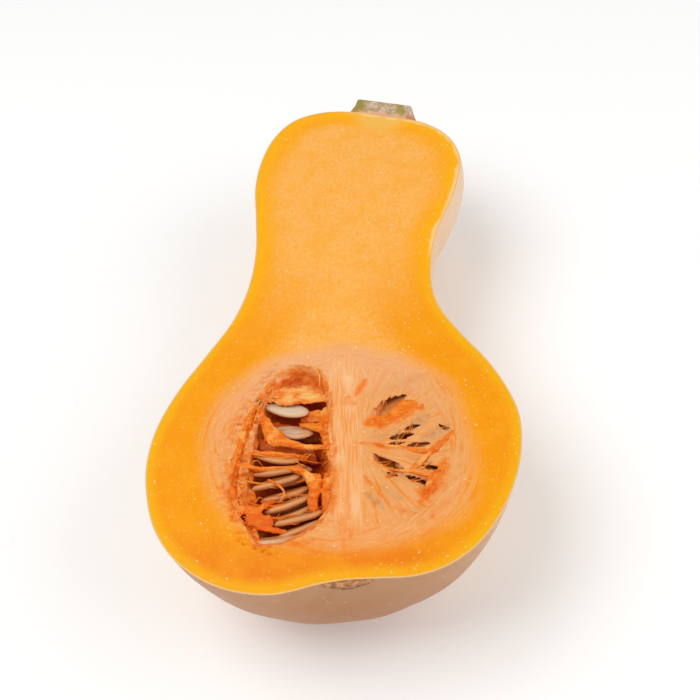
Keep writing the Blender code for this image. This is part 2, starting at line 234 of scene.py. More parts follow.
dents = np.array([[dent(*p) for p in ring] for ring in skin.tolist()])
outer = skin_inside(SKIN_CLEAR + np.maximum(dents, 0.0))
inner = skin_inside(SKIN_CLEAR + RIND_THICKNESS)[:, ::-4]
for shell in (outer, inner):
    shell[:, [0, -1], 2] = -RIM_DROP
    shell[[0, -1], :, 2] = -RIM_DROP
rind = wrap("rind", np.concatenate([outer, inner, outer[:, :1]], axis=1))
print("rind:", len(rind.data.polygons), "faces")

# %% [markdown]
# ## The flesh
# The flesh fills the rind. Its cut face is a fine grid of its own, closest in the bulb, so
# that it can carry the faint relief that a knife and the fibres leave. Beside the left
# pocket, where the seeds were pulled, the flesh is torn in small pits, and those are real
# dents in the grid and not only a bump in the finish. The seed pockets are cut out of it
# afterwards with closed shapes.

# %% Pocket outlines
LEFT_POCKET = (
    (-9.8, -32.1), (-4.4, -34.7), (-1.5, -40.5), (-0.2, -51.0), (-0.5, -62.3), (0.2, -73.4),
    (-0.4, -86.0), (-1.6, -94.5), (-5.9, -99.9), (-12.5, -103.6), (-19.0, -105.2), (-25.0, -105.0),
    (-27.2, -99.6), (-31.2, -92.3), (-34.4, -85.0), (-34.3, -77.4), (-32.6, -65.5), (-28.9, -52.0),
    (-24.6, -43.8), (-19.2, -35.6), (-13.9, -32.0),
)
LEFT_HOLLOW = (
    (-10.2, -33.6), (-6.0, -36.0), (-3.0, -41.4), (-1.6, -51.0), (-2.0, -62.3), (-1.4, -73.4),
    (-2.0, -85.0), (-3.4, -93.0), (-7.2, -97.6), (-13.0, -101.2), (-18.8, -102.8), (-23.6, -102.0),
    (-25.0, -97.0), (-27.0, -91.0), (-28.6, -84.4), (-28.6, -77.4), (-27.4, -66.5), (-25.4, -55.0),
    (-22.6, -45.6), (-18.0, -37.4), (-13.8, -33.8),
)
RIGHT_POCKET = (
    (17.0, -47.6), (23.3, -43.4), (31.8, -47.9), (38.6, -56.4), (40.6, -68.4), (38.3, -81.4),
    (34.3, -92.0), (26.8, -99.0), (19.8, -98.0), (15.8, -89.4), (13.8, -77.4), (13.8, -61.4),
)
HUB = Vector((8.5, -71.0))  # where the fibres of the web fan out from
EDGE_STEPS = 12
left_edge = kdtree.KDTree(len(LEFT_POCKET) * EDGE_STEPS)
for i, p in enumerate(smooth_line(LEFT_POCKET, EDGE_STEPS, closed=True)):
    left_edge.insert((p[0], p[1], 0.0), i)
left_edge.balance()

# %% Height of the cut face
FACE_DROP = 0.14
TOP_LIMIT = -0.03  # nothing comes higher than this over the cut, in mm
WALL_MIDDLE = 5.0
WALL_HALF = 6.5
TORN_SIDE = -14.0
TORN_REACH = 2.0
TORN_DEPTH = 1.9
RING_CENTRE = np.array((3.5, -68.0))
RING = ((5.6, -24.9), (-30.7, -33.8), (-44.8, -66.3), (-30.4, -97.2), (3.6, -110.0),
        (38.0, -102.4), (47.8, -77.1), (38.4, -42.8))
ring_line = smooth_line(RING, 24, closed=True)
ring_angles = np.arctan2(*(ring_line - RING_CENTRE).T[::-1])
ring_reach = np.linalg.norm(ring_line - RING_CENTRE, axis=1)
ring_order = np.argsort(ring_angles)


def ring_share(x, y):
    """0 in the middle of the cavity, 1 on the outer edge of its ring of fibres."""
    angle = np.arctan2(y - RING_CENTRE[1], x - RING_CENTRE[0])
    reach = np.interp(angle, ring_angles[ring_order], ring_reach[ring_order], period=2 * math.pi)
    return np.hypot(x - RING_CENTRE[0], y - RING_CENTRE[1]) / reach


def face_height(x, y, share):
    """Height of the cut face in mm: knife waves, fibres, and torn pits beside the left pocket."""
    place = Vector((x, y, 0.0))
    height = -FACE_DROP + 0.04 * noise.noise(place / 14.0) + 0.02 * noise.noise(place / 2.5)
    if share < 1.1:
        turn = math.atan2(y - RING_CENTRE[1], x - RING_CENTRE[0])
        fibres = noise.noise(Vector((share * 34.0, turn * 3.0, 0.0)))
        if abs(x - WALL_MIDDLE) < WALL_HALF:
            fibres = noise.noise(Vector((x * 1.1, y * 0.08, 4.0)))
        height += 0.08 * fibres * min((1.1 - share) * 5.0, 1.0)
        away = left_edge.find((x, y, 0.0))[2]
        height -= 0.5 * math.exp(-away / 0.7) * (1.0 + 0.8 * noise.noise(place / 1.6))
        if x < TORN_SIDE:
            pit = noise.noise(Vector((x / 2.6, y / 1.1, 7.0))) + 0.5 * noise.noise(place / 0.9)
            near = math.exp(-((away - 2.2) / TORN_REACH) ** 2) * min((TORN_SIDE - x) / 8.0, 1.0)
            height -= TORN_DEPTH * near * max(pit, -0.1)
    return min(height, TOP_LIMIT)


# %% Flesh before the pockets
FACE_COLUMNS = 210
CENTRE_SPACING = 0.62
NOTCH_ROWS = 16
NOTCH_STEP = 0.012
NOTCH_END = -110.0
flesh_skin = skin_inside(SKIN_CLEAR + RIND_THICKNESS - 0.06)[:, ::4]
flesh_skin[[0, -1], :, 2] = -FACE_DROP
notch = np.vstack([flesh_skin[:NOTCH_ROWS, -1], flesh_skin[1:NOTCH_ROWS, 0]])
notch = notch[np.argsort(notch[:, 0])]
line = np.linspace(-1, 1, FACE_COLUMNS + 1)
across = (0.5 + 0.5 * (CENTRE_SPACING * line + (1 - CENTRE_SPACING) * line ** 3))[:, None]
flesh_rings = []
for k, under in enumerate(flesh_skin):
    right, left = under[0].copy(), under[-1].copy()
    face = left + (right - left) * across
    if k < 2 * NOTCH_ROWS:  # the first rows bend round the hollow of the blossom end
        front = np.interp(face[:, 0], notch[:, 0], notch[:, 1])
        front += NOTCH_STEP * k * np.sin(math.pi * across[:, 0])
        face[:, 1] = np.where(front < NOTCH_END, np.maximum(face[:, 1], front), face[:, 1])
    shares = ring_share(face[:, 0], face[:, 1])
    face[:, 2] = [face_height(p[0], p[1], q) for p, q in zip(face.tolist(), shares.tolist())]
    under[0, 2], under[-1, 2] = face[-1, 2], face[0, 2]
    ring = np.vstack([face, under[1:]])
    if np.allclose(left[:2], right[:2]):
        ring[:, 2] = -FACE_DROP
    flesh_rings.append(ring)
flesh = wrap("flesh", np.array(flesh_rings))
print("flesh:", len(flesh.data.polygons), "faces")

# %% [markdown]
# ## The seed pockets
# Two hollows hold the seeds, with a fibrous wall between them. The left one is torn open,
# so its edge is ragged. A pocket is a closed bowl: a point on top, the outline just above
# the cut, then rings that shrink on the way down to a point.

# %% Rings of a bowl
AROUND = 180
DOWN = 26
BOWL_FULLNESS = 0.75


def around(points, ragged=0.0):
    """A closed outline as an array of points, its edge torn in and out a little."""
    line = smooth_line(points, AROUND // len(points) + 1, closed=True)
    line = np.vstack([line, line[:1]])
    centre = line[:-1].mean(0)
    for k, p in enumerate(line[:-1].copy()):
        tear = noise.noise(Vector((p[0], p[1], 3.0)) / 2.2) + 0.5 * noise.noise(Vector((p[0], p[1], 9.0)))
        line[k] = p + (centre - p) / np.linalg.norm(centre - p) * ragged * tear
    line[-1] = line[0]
    return line, centre


def bowl_rings(line, centre, rim, depth, relief=0.0, pitch=3.0, down=DOWN):
    """Rings from an outline at the height rim down to a point at the depth."""
    rings = []
    for k in range(down + 1):
        angle = k / down * math.pi / 2
        size = math.cos(angle) ** BOWL_FULLNESS if k < down else 0.0
        flat = centre + (line - centre) * size
        ring = np.column_stack([flat, np.full(len(line), rim - (depth + rim) * math.sin(angle))])
        if relief and 0 < k < down:
            for p in ring[:-1]:
                spot = Vector((p[0] / pitch, p[1] / pitch, p[2] / (pitch * 0.35)))
                push = noise.noise(spot) + 0.5 * noise.noise(spot * 2.3)
                p[:2] += (centre - p[:2]) / max(np.linalg.norm(centre - p[:2]), 1.0) * relief * push
            ring[-1] = ring[0]
        rings.append(ring)
    return np.array(rings)


def cutter_rings(points, depth, ragged=0.0):
    line, centre = around(points, ragged)
    lid = np.column_stack([np.tile(centre, (len(line), 1)), np.full(len(line), CLEAR_TOP)])
    wall = np.column_stack([line, np.full(len(line), CLEAR_TOP)])
    return np.concatenate([[lid, wall], bowl_rings(line, centre, 0.0, depth)])


# %% Cut the pockets out of the flesh
def carve(piece, cutters, operation="DIFFERENCE"):
    """One Boolean with each cutter, applied; the cutters are then removed."""
    for cutter in cutters:
        modifier = piece.modifiers.new("carve", "BOOLEAN")
        modifier.operation = operation
        modifier.solver = "MANIFOLD"
        modifier.object = cutter
    mesh = bpy.data.meshes.new_from_object(piece.evaluated_get(bpy.context.evaluated_depsgraph_get()))
    piece.modifiers.clear()
    mesh.name = piece.name
    piece.data = mesh
    for cutter in cutters:
        bpy.data.objects.remove(cutter, do_unlink=True)


LEFT_DEPTH = 31.0
LEFT_FLOOR = 15.5
RIGHT_DEPTH = 24.0
CLEAR_TOP = 3.0
carve(flesh, [
    wrap("left_cutter", cutter_rings(LEFT_POCKET, LEFT_DEPTH, ragged=0.5), CLEAR_TOP),
    wrap("right_cutter", cutter_rings(RIGHT_POCKET, RIGHT_DEPTH), CLEAR_TOP),
])
flesh.data.shade_smooth()
flesh.data.set_sharp_from_angle(angle=math.radians(40))
print("flesh with its pockets:", len(flesh.data.polygons), "faces")

# %% [markdown]
# ## Pulp of the left pocket
# Soft wet pulp lines the pocket, thick along the outer wall where the seeds grow from it
# and thin against the middle wall. It is one skin that runs up the outside of the bowl,
# over a ragged rim and down the inside. The crevices in its ledge are pressed in along
# chosen lines, and each point keeps how deep in a crevice it is, so that the finish can
# paint shade into it.

# %% Crevices of the ledge
GROOVE_DEPTH = 3.2
GROOVE_LINES = (
    (0.75, ((-26.1, -47.6), (-28.4, -54.6), (-30.4, -62.8), (-31.9, -70.9), (-32.7, -78.1),
            (-32.4, -85.2), (-29.8, -91.6), (-26.8, -97.6))),
    (0.5, ((-31.6, -47.9), (-28.4, -46.8), (-25.2, -46.4))),
    (0.5, ((-31.5, -54.4), (-29.4, -53.7), (-27.1, -53.8))),
    (0.5, ((-33.9, -62.1), (-32.4, -60.9), (-30.9, -60.0))),
    (0.5, ((-34.1, -71.4), (-32.0, -71.4), (-29.6, -71.9))),
    (0.5, ((-30.2, -76.0), (-28.0, -77.6), (-27.2, -81.0))),
)
GROOVES = [(smooth_line(points, 24), width) for width, points in GROOVE_LINES]
print("crevices:", len(GROOVES))


def bumps(x, y, z, pitch):
    spot = Vector((x, y, z)) / pitch
    return noise.noise(spot) + 0.5 * noise.noise(spot * 2.1) + 0.25 * noise.noise(spot * 4.3)


def groove_share(x, y):
    """1 in the middle of a crevice, 0 away from it."""
    best = 0.0
    for line, width in GROOVES:
        away = np.hypot(line[:, 0] - x, line[:, 1] - y).min()
        best = max(best, math.exp(-(away / width) ** 2))
    return best


# %% Lining of a pocket
LINING_ROOT = 0.25
RIM_LOW = 0.35


def lining_rings(pocket, hollow, depths, ledge_low, ledge_rings=16, rough=0.9, grooved=False):
    """Up the outside of the bowl, over a rough ledge and down the inside."""
    line, centre = around(pocket, 0.5)
    line = line + (line - centre) / np.linalg.norm(line - centre, axis=1)[:, None] * LINING_ROOT
    inner_line, inner_centre = around(hollow, 0.5)
    outside = bowl_rings(line, centre, -RIM_LOW, depths[0] + LINING_ROOT)
    ledge = []
    for k in range(1, ledge_rings):
        t = k / ledge_rings
        ring = np.column_stack([line + (inner_line - line) * t,
                                np.full(len(line), -RIM_LOW - (ledge_low - RIM_LOW) * t ** 1.5)])
        for p in ring[:-1]:
            push = bumps(p[0], p[1], 0.0, 2.6)
            p[2] = min(p[2] + rough * push * math.sin(math.pi * t) ** 0.6, -RIM_LOW)
            if grooved:
                p[2] -= GROOVE_DEPTH * groove_share(p[0], p[1]) * min(4 * t, 1.0)
            p[0] += 0.5 * rough * bumps(p[0], p[1], 7.0, 2.0) * math.sin(math.pi * t)
        ring[-1] = ring[0]
        ledge.append(ring)
    inside = bowl_rings(inner_line, inner_centre, -ledge_low, depths[1], relief=rough, pitch=2.6)
    return np.concatenate([outside[::-1], ledge, inside])


def mark_points(piece, name, value):
    """Gives each point of a mesh a number that its finish can read."""
    values = [value(*(v.co / MM)) for v in piece.data.vertices]
    piece.data.attributes.new(name, "FLOAT", "POINT").data.foreach_set("value", values)


pulp_left = wrap("pulp_left_lining", lining_rings(LEFT_POCKET, LEFT_HOLLOW, (LEFT_DEPTH, LEFT_FLOOR), 3.0,
                                                grooved=True))
mark_points(pulp_left, "groove", lambda x, y, z: groove_share(x, y) * (CUT - z < 8.0))
print("left lining:", len(pulp_left.data.polygons), "faces")

# %% [markdown]
# ## Strands and sheets of pulp
# A strand or a torn sheet of pulp is a thin body stretched between two lines. Each of
# its rings is a flat loop from one line to the other, its edges frayed by noise. The
# sheets are then fused into one wet mass, and loose threads are laid over it.

# %% Rings of a ribbon and of a thread
def resample(points, count):
    """The smooth line through the points, as evenly spaced points."""
    line = smooth_line(points, 12)
    run = np.concatenate([[0], np.cumsum(np.linalg.norm(np.diff(line, axis=0), axis=1))])
    spots = np.linspace(0, run[-1], count)
    return np.column_stack([np.interp(spots, run, line[:, k]) for k in range(3)])


CREASE = 0.75
CREASE_PITCH = 0.85


def ribbon_rings(first, second, thickness, stations=48, corners=40, ragged=0.26, swell=0.35):
    a, b = resample(first, stations), resample(second, stations)
    centre, half = (a + b) / 2, (a - b) / 2
    ahead = np.gradient(centre, axis=0)
    up = np.cross(ahead, half)
    up /= np.linalg.norm(up, axis=1)[:, None]
    up *= np.where(up[:, 2:3] < 0, -1, 1)
    rings = [np.tile(centre[0], (corners + 1, 1))]
    wide = np.linalg.norm(half, axis=1)
    for k in range(stations):
        t = k / (stations - 1)
        body = 0.6 + 0.4 * math.sin(math.pi * t) ** 0.5
        ring = []
        for turn in np.linspace(0, 2 * math.pi, corners + 1)[:-1]:
            edge = centre[k] + half[k] * math.cos(turn)
            fray = 1 + ragged * bumps(*edge, 1.8)
            lump = 1 + swell * bumps(*edge, 1.3)
            fold = Vector((wide[k] * math.cos(turn) / CREASE_PITCH, k * 0.09, thickness * 40))
            ring.append(centre[k] + half[k] * math.cos(turn) * fray
                        + up[k] * (math.sin(turn) * thickness * lump + CREASE * noise.noise(fold)) * body)
        rings.append(np.array(ring + ring[:1]))
    rings.append(np.tile(centre[-1], (corners + 1, 1)))
    return np.array(rings)


def thread_rings(points, radius, stations=7, corners=6):
    line = resample(points, stations)
    ahead = np.gradient(line, axis=0)
    side = np.cross(ahead, (0.3, 0.2, 1.0))
    side /= np.linalg.norm(side, axis=1)[:, None]
    up = np.cross(side, ahead)
    up /= np.linalg.norm(up, axis=1)[:, None]
    turn = np.linspace(0, 2 * math.pi, corners + 1)
    turn[-1] = 0.0
    rings = [np.tile(line[0], (corners + 1, 1))]
    for k in range(stations):
        size = radius * (1.0 - 0.7 * (k / (stations - 1)) ** 2)
        rings.append(line[k] + size * (np.outer(np.cos(turn), side[k]) + np.outer(np.sin(turn), up[k])))
    rings.append(np.tile(line[-1], (corners + 1, 1)))
    return np.array(rings)


# %% Sheets and strands of the left pocket
# for each: its thickness, then the two lines that it is stretched between
LEFT_SHEETS = (
    # ledge across the top
    (0.9, ((-26.5, -42.5, -2), (-21.7, -39.9, -4), (-16.7, -37.6, -6), (-11.3, -38.6, -6.4),
           (-6.4, -41.1, -5), (-0.6, -45.2, -3)),
     ((-26.4, -45.0, -2), (-21.9, -46.6, -2.5), (-16.5, -48.4, -2.5), (-10.7, -48.6, -2.5),
      (-6.0, -48.8, -2.5), (-0.4, -49.6, -2))),
    # faint second ledge inside the arch
    (0.8, ((-22.5, -37.0, -5), (-15.7, -32.8, -9), (-9.2, -34.0, -10), (-2.6, -38.5, -8)),
     ((-23.0, -40.4, -4), (-15.3, -38.9, -6.5), (-8.9, -39.6, -7), (-1.6, -43.3, -6))),
    # broad slanting strand
    (0.8, ((-26.0, -46.6, -2.2), (-21.7, -54.6, -2.2), (-17.5, -60.2, -2.3), (-13.5, -64.0, -2.4),
           (-8.4, -66.3, -2.5), (-0.6, -67.2, -2.2)),
     ((-27.5, -48.4, -3.4), (-24.4, -57.3, -3.4), (-22.2, -64.2, -3.2), (-16.4, -65.8, -3),
      (-10.7, -67.8, -3), (-0.6, -69.3, -2.6))),
    # fringe of the middle wall
    (0.7, ((-4.6, -55.5, -4.4), (-4.0, -62.1, -3.8), (-2.8, -68.2, -3.2), (-0.9, -75.1, -2.6)),
     ((-0.6, -56.0, -1.2), (-0.6, -64.2, -1.0), (-0.2, -69.7, -1.0), (0.2, -76.4, -1.2))),
    # film over the third seed
    (0.5, ((-32.0, -62.5, -2.5), (-26.8, -65.6, -3.6), (-20.5, -66.7, -3.8), (-14.2, -68.1, -4),
           (-8.9, -69.0, -5)),
     ((-31.5, -67.6, -3.2), (-25.8, -68.4, -4.6), (-20.6, -68.6, -4.8), (-15.5, -69.8, -4.8),
      (-9.5, -71.0, -6))),
    # arc over the stack of seeds
    (0.7, ((-33.6, -72.2, -1.6), (-29.6, -71.4, -1.9), (-26.3, -73.0, -2.3), (-21.2, -74.0, -2.4),
           (-15.6, -74.3, -2.4), (-10.6, -75.3, -2.4), (-7.4, -78.3, -2.4), (-6.0, -81.0, -2.4)),
     ((-33.6, -75.6, -2.4), (-29.2, -73.8, -2.8), (-25.7, -75.2, -3), (-21.3, -75.5, -3),
      (-15.7, -75.9, -3), (-11.8, -77.4, -3), (-9.6, -80.0, -3), (-8.4, -83.2, -3))),
    # clump at the end of the arc
    (1.4, ((-8.9, -77.9, -3.2), (-8.2, -83.5, -3.2), (-8.6, -87.9, -3.4), (-7.6, -92.5, -4)),
     ((-3.6, -79.0, -2.6), (-4.0, -84.9, -2.6), (-5.0, -89.2, -2.8), (-5.4, -93.3, -3.4))),
    # lumps against the middle wall
    (1.1, ((-3.2, -79.0, -3.4), (-3.9, -86.4, -3.6), (-4.0, -93.4, -4)),
     ((-0.2, -79.0, -1.4), (-0.4, -86.8, -1.4), (-1.0, -94.0, -1.6))),
    # orange pulp at the lower left
    (1.2, ((-30.6, -88.6, -2.0), (-27.4, -88.4, -2.6), (-24.2, -89.4, -3.4)),
     ((-30.0, -91.8, -2.0), (-27.0, -92.2, -2.4), (-23.8, -92.8, -3.4))),
    (1.4, ((-28.6, -91.4, -2.2), (-24.4, -91.6, -2.8), (-20.4, -92.4, -4.2)),
     ((-28.0, -96.6, -2.2), (-23.8, -97.4, -2.6), (-19.6, -96.4, -4.0))),
    (0.8, ((-24.8, -95.4, -2.4), (-20.4, -96.6, -3.0), (-15.4, -98.0, -4.2)),
     ((-25.4, -97.4, -2.6), (-20.8, -98.8, -3.2), (-15.2, -99.4, -4.4))),
    (0.6, ((-26.4, -90.6, -2.0), (-23.0, -87.4, -3.2), (-20.6, -85.4, -4.6)),
     ((-24.4, -92.2, -2.0), (-21.4, -89.2, -3.2), (-19.4, -86.6, -4.6))),
    # soft ridge along the outer wall
    (1.0, ((-25.3, -46.5, -2.0), (-28.6, -59.9, -2.6), (-31.0, -70.3, -3), (-32.3, -78.1, -3.2),
           (-31.4, -84.8, -3.4), (-29.2, -91.0, -3.4)),
     ((-27.8, -47.0, -0.9), (-32.2, -57.9, -0.9), (-33.9, -70.2, -0.9), (-35.0, -79.4, -0.9),
      (-33.9, -87.3, -0.9), (-30.3, -93.7, -0.9))),
    # film between the first seed and the wall
    (0.7, ((-11.0, -49.6, -5.4), (-5.5, -50.6, -4.6), (-0.4, -51.0, -2.4)),
     ((-11.6, -53.6, -6.6), (-6.0, -55.2, -6.0), (-0.4, -56.6, -3.0))),
    # brown pulp behind the first and second seeds
    (1.2, ((-25.6, -50.5, -6.4), (-17.5, -52.4, -8.4), (-9.5, -54.6, -8.6)),
     ((-25.0, -54.5, -7.4), (-17.5, -57.0, -10.4), (-9.5, -59.6, -10.4))),
    (1.2, ((-27.0, -58.6, -6.0), (-19.5, -61.4, -7.6), (-7.0, -63.6, -7.8)),
     ((-27.2, -63.0, -7.0), (-19.5, -66.2, -9.6), (-6.0, -69.4, -10.6))),
    # film between the second seed and the wall
    (0.5, ((-12.1, -54.5, -5.6), (-5.7, -56.2, -4.2), (-0.4, -60.8, -1.6)),
     ((-11.5, -56.4, -5.6), (-6.3, -59.8, -4.4), (-0.6, -64.8, -2))),
    # films between the outer wall and the tips of the seeds
    (0.8, ((-32.6, -58.5, -2.6), (-29.0, -60.0, -3.8), (-25.6, -61.0, -5.0)),
     ((-33.4, -68.0, -2.6), (-30.0, -67.6, -4.0), (-27.0, -67.0, -5.4))),
    (0.9, ((-34.0, -70.5, -2.4), (-30.2, -70.8, -4.2), (-26.4, -71.0, -5.6)),
     ((-34.6, -79.5, -2.4), (-31.4, -79.2, -4.0), (-27.6, -78.6, -5.8))),
    (1.0, ((-34.4, -78.5, -2.4), (-30.8, -79.4, -4.4), (-26.8, -80.4, -6.0)),
     ((-33.0, -90.0, -2.4), (-29.4, -89.0, -4.0), (-25.6, -87.6, -6.0))),
    # shred at the bottom edge
    (0.6, ((-27.5, -99.0, -2.2), (-22.5, -101.6, -3.0), (-16.5, -102.6, -3.6), (-9.0, -100.8, -3.0)),
     ((-26.5, -103.6, -1.4), (-21.5, -104.4, -1.8), (-15.0, -104.0, -2.0), (-8.0, -101.8, -1.8))),
)
SHEET_VOXEL = 0.26


def fuse(piece, voxel, smooth=1):
    """Makes one skin of overlapping bodies and softens it."""
    modifier = piece.modifiers.new("fuse", "REMESH")
    modifier.mode = "VOXEL"
    modifier.voxel_size = voxel * MM
    mesh = bpy.data.meshes.new_from_object(piece.evaluated_get(bpy.context.evaluated_depsgraph_get()))
    piece.modifiers.clear()
    bm = bmesh.new()
    bm.from_mesh(mesh)
    for _ in range(smooth):
        bmesh.ops.smooth_vert(bm, verts=bm.verts, factor=0.5,
                              use_axis_x=True, use_axis_y=True, use_axis_z=True)
    for v in bm.verts:
        v.co.z = min(v.co.z, (CUT - 0.05) * MM)
    bm.to_mesh(piece.data)
    bm.free()
    piece.data.shade_smooth()


bm = bmesh.new()
for thickness, first, second in LEFT_SHEETS:
    wrap_into(bm, ribbon_rings(first, second, thickness))
bmesh.ops.recalc_face_normals(bm, faces=bm.faces)
sheets_left = finished("pulp_left_sheets", bm)
fuse(sheets_left, SHEET_VOXEL)
print("sheets of the left pocket:", len(sheets_left.data.polygons), "faces")

# %% Long threads of the left pocket
draw = random.Random(11)
# for each: its radius, then its line
LONG_THREADS = (
    (0.42, ((-21.5, -79.2, -2.6), (-18.0, -82.2, -1.6), (-16.0, -85.2, -1.8), (-17.5, -87.2, -3.4),
            (-20.5, -86.6, -5.0))),
    (0.38, ((-9.8, -32.4, -0.8), (-6.0, -34.0, -1.0), (-4.0, -37.8, -1.6), (-4.4, -42.0, -3.0))),
    (0.40, ((-27.0, -55.5, -1.6), (-25.2, -49.0, -1.8), (-22.5, -44.6, -2.4), (-17.0, -44.0, -3.0))),
    (0.35, ((-31.0, -66.5, -2.6), (-22.0, -69.8, -2.6), (-14.0, -71.5, -3.4), (-9.5, -74.5, -3.6))),
    (0.33, ((-30.0, -78.4, -2.8), (-22.0, -80.2, -3.2), (-13.0, -78.6, -3.6))),
    (0.33, ((-30.5, -85.6, -2.8), (-24.0, -88.4, -3.4), (-15.0, -88.2, -3.8), (-8.0, -85.6, -3.6))),
    (0.33, ((-28.0, -95.4, -2.6), (-20.0, -93.8, -3.2), (-12.0, -92.4, -4.2))),
)
bm = bmesh.new()
for radius, places in LONG_THREADS:
    wrap_into(bm, thread_rings(places, radius, stations=16, corners=8))

# %% Short threads: from the middle wall, over the seeds, and from the outer wall
MIDDLE_THREADS, SEED_THREADS, WALL_THREADS = 48, 26, 170
OUTER_WALL = (105, 172)  # the places along the pocket's edge that are its outer wall
for _ in range(MIDDLE_THREADS):
    y = draw.uniform(-96, -44)
    length = draw.uniform(1.0, 5.0)
    start = (0.0, y, -draw.uniform(0.5, 1.6))
    bend = (-length * 0.5, y + draw.uniform(-1.2, 1.2), start[2] - draw.uniform(0.2, 1.4))
    end = (-length, y + draw.uniform(-2.2, 2.2), start[2] - draw.uniform(0.8, 3.6))
    wrap_into(bm, thread_rings((start, bend, end), draw.uniform(0.1, 0.22)))
for _ in range(SEED_THREADS):
    x, y = draw.uniform(-30, -9), draw.uniform(-97, -70)
    reach = draw.uniform(3.0, 8.0)
    start = (x, y, -draw.uniform(3.0, 5.0))
    bend = (x + reach * 0.5, y + draw.uniform(-2.0, 2.0), -draw.uniform(2.0, 4.0))
    end = (x + reach, y + draw.uniform(-3.0, 3.0), -draw.uniform(3.5, 6.5))
    wrap_into(bm, thread_rings((start, bend, end), draw.uniform(0.14, 0.3)))
rim_left, middle_left = around(LEFT_POCKET)
for _ in range(WALL_THREADS):
    k = draw.randrange(*OUTER_WALL)
    p = rim_left[k] + (middle_left - rim_left[k]) * draw.uniform(-0.01, 0.22)
    lean = draw.uniform(0, 2 * math.pi)
    length = draw.uniform(0.8, 2.6)
    start = (p[0], p[1], -draw.uniform(1.0, 2.4))
    end = (p[0] + math.cos(lean) * length, p[1] + math.sin(lean) * length, -draw.uniform(0.3, 2.0))
    bend = tuple((a + b) / 2 + draw.uniform(-0.3, 0.3) for a, b in zip(start, end))
    wrap_into(bm, thread_rings((start, bend[:2] + (min(bend[2], -0.3),), end), draw.uniform(0.12, 0.26)))
bmesh.ops.recalc_face_normals(bm, faces=bm.faces)
threads_left = finished("pulp_left_threads", bm)
print("threads of the left pocket:", len(threads_left.data.polygons), "faces")

# %% [markdown]
# ## Seeds
# A squash seed is a flat teardrop with a raised margin. It is a sphere that is pressed
# flat, drawn in towards its pointed end and thinned inside the margin. Each seed is then
# turned and set in its pocket by where its point is, where it aims and how far it leans.
# Seeds that sit deeper in the pulp are more stained by it.

# %% One seed
SEED_LENGTH = 17.0
SEED_WIDTH = 9.0
SEED_THICKNESS = 2.2
SEED_SHARP = 80
MARGIN = 0.82


def add_seed(bm, tip, aim, tilt, stain):
    """tip in mm from the cut; aim and tilt in degrees; stain from 0 to 1."""
    layer = bm.verts.layers.float.get("stain") or bm.verts.layers.float.new("stain")
    border = bm.verts.layers.float.get("border") or bm.verts.layers.float.new("border")
    made = bmesh.ops.create_uvsphere(bm, u_segments=32, v_segments=18, radius=1.0)["verts"]
    along = Vector((math.cos(math.radians(aim)), math.sin(math.radians(aim)), 0.0))
    level = Vector((-along.y, along.x, 0))
    if level.y < 0:
        level = -level
    lean = math.radians(tilt)
    across = level * math.cos(lean) + Vector((0, 0, -1)) * math.sin(lean)
    flat = along.cross(across)
    for v in made:
        x, y, z = v.co
        reach = min(math.hypot(x, y), 1.0)
        taper = max(0.5 + 0.5 * x, 0.0) ** 0.30
        margin = math.exp(-((reach - MARGIN) / 0.1) ** 2)
        plump = math.sqrt(max(1 - reach ** 5, 0.0)) * (0.84 + 0.3 * margin)
        wave = 0.3 * noise.noise(Vector((tip[0], tip[1], x * 1.5)))
        spot = (along * (SEED_LENGTH / 2 * (1 + x)) + across * (SEED_WIDTH / 2 * y * taper)
                + flat * (math.copysign(SEED_THICKNESS / 2 * plump, z) * min(abs(z) * 6, 1) + wave))
        v.co = (Vector(tip) + Vector((0, 0, CUT)) + spot) * MM
        v[layer] = stain
        v[border] = min(max((reach - 0.72) / 0.2, 0.0), 1.0)


# %% Seeds of the left pocket
# for each: its tip, in mm and from the cut, the way it aims, how it leans, how stained
LEFT_SEEDS = (
    (-24.6, -46.6, -4.6, -17, 21, 0.12), (-23.6, -56.2, -6.6, -9, 25, 0.3),
    (-28.0, -66.6, -5.0, -15, 38, 1.0), (-27.2, -74.8, -5.0, 5, 44, 0.75),
    (-27.8, -80.6, -5.0, 13, 44, 0.7), (-24.8, -85.0, -6.6, 13, 47, 0.9),
    (-23.2, -90.4, -5.2, 20, 44, 0.75), (-22.6, -93.6, -7.0, 20, 47, 0.9),
    (-19.8, -95.6, -4.6, 14, 46, 0.6), (-19.0, -100.2, -5.2, 20, 50, 0.9),
    (-28.0, -102.2, -3.6, 2, 48, 0.4), (-24.6, -70.4, -9.0, -6, 44, 0.9),
    (-25.4, -77.6, -9.0, 8, 46, 0.9), (-22.4, -87.8, -9.6, 16, 47, 0.95),
)
BACK_SEEDS = (
    (-21.0, -52.0, -14.0, -14, 30, 0.9), (-23.5, -61.0, -13.0, -10, 36, 0.9),
    (-22.6, -70.0, -15.5, -4, 40, 1.0), (-22.6, -77.4, -15.0, 4, 44, 1.0),
    (-21.6, -83.6, -15.0, 10, 44, 1.0), (-20.6, -89.4, -15.0, 16, 44, 1.0),
    (-18.0, -94.6, -14.0, 20, 44, 1.0),
)
bm = bmesh.new()
for x, y, z, aim, tilt, stain in LEFT_SEEDS + BACK_SEEDS:
    add_seed(bm, (x, y, z), aim, tilt, stain)
seeds_left = finished("seeds_of_left_pocket", bm, sharp=SEED_SHARP)
print("seeds on the left:", len(LEFT_SEEDS) + len(BACK_SEEDS))

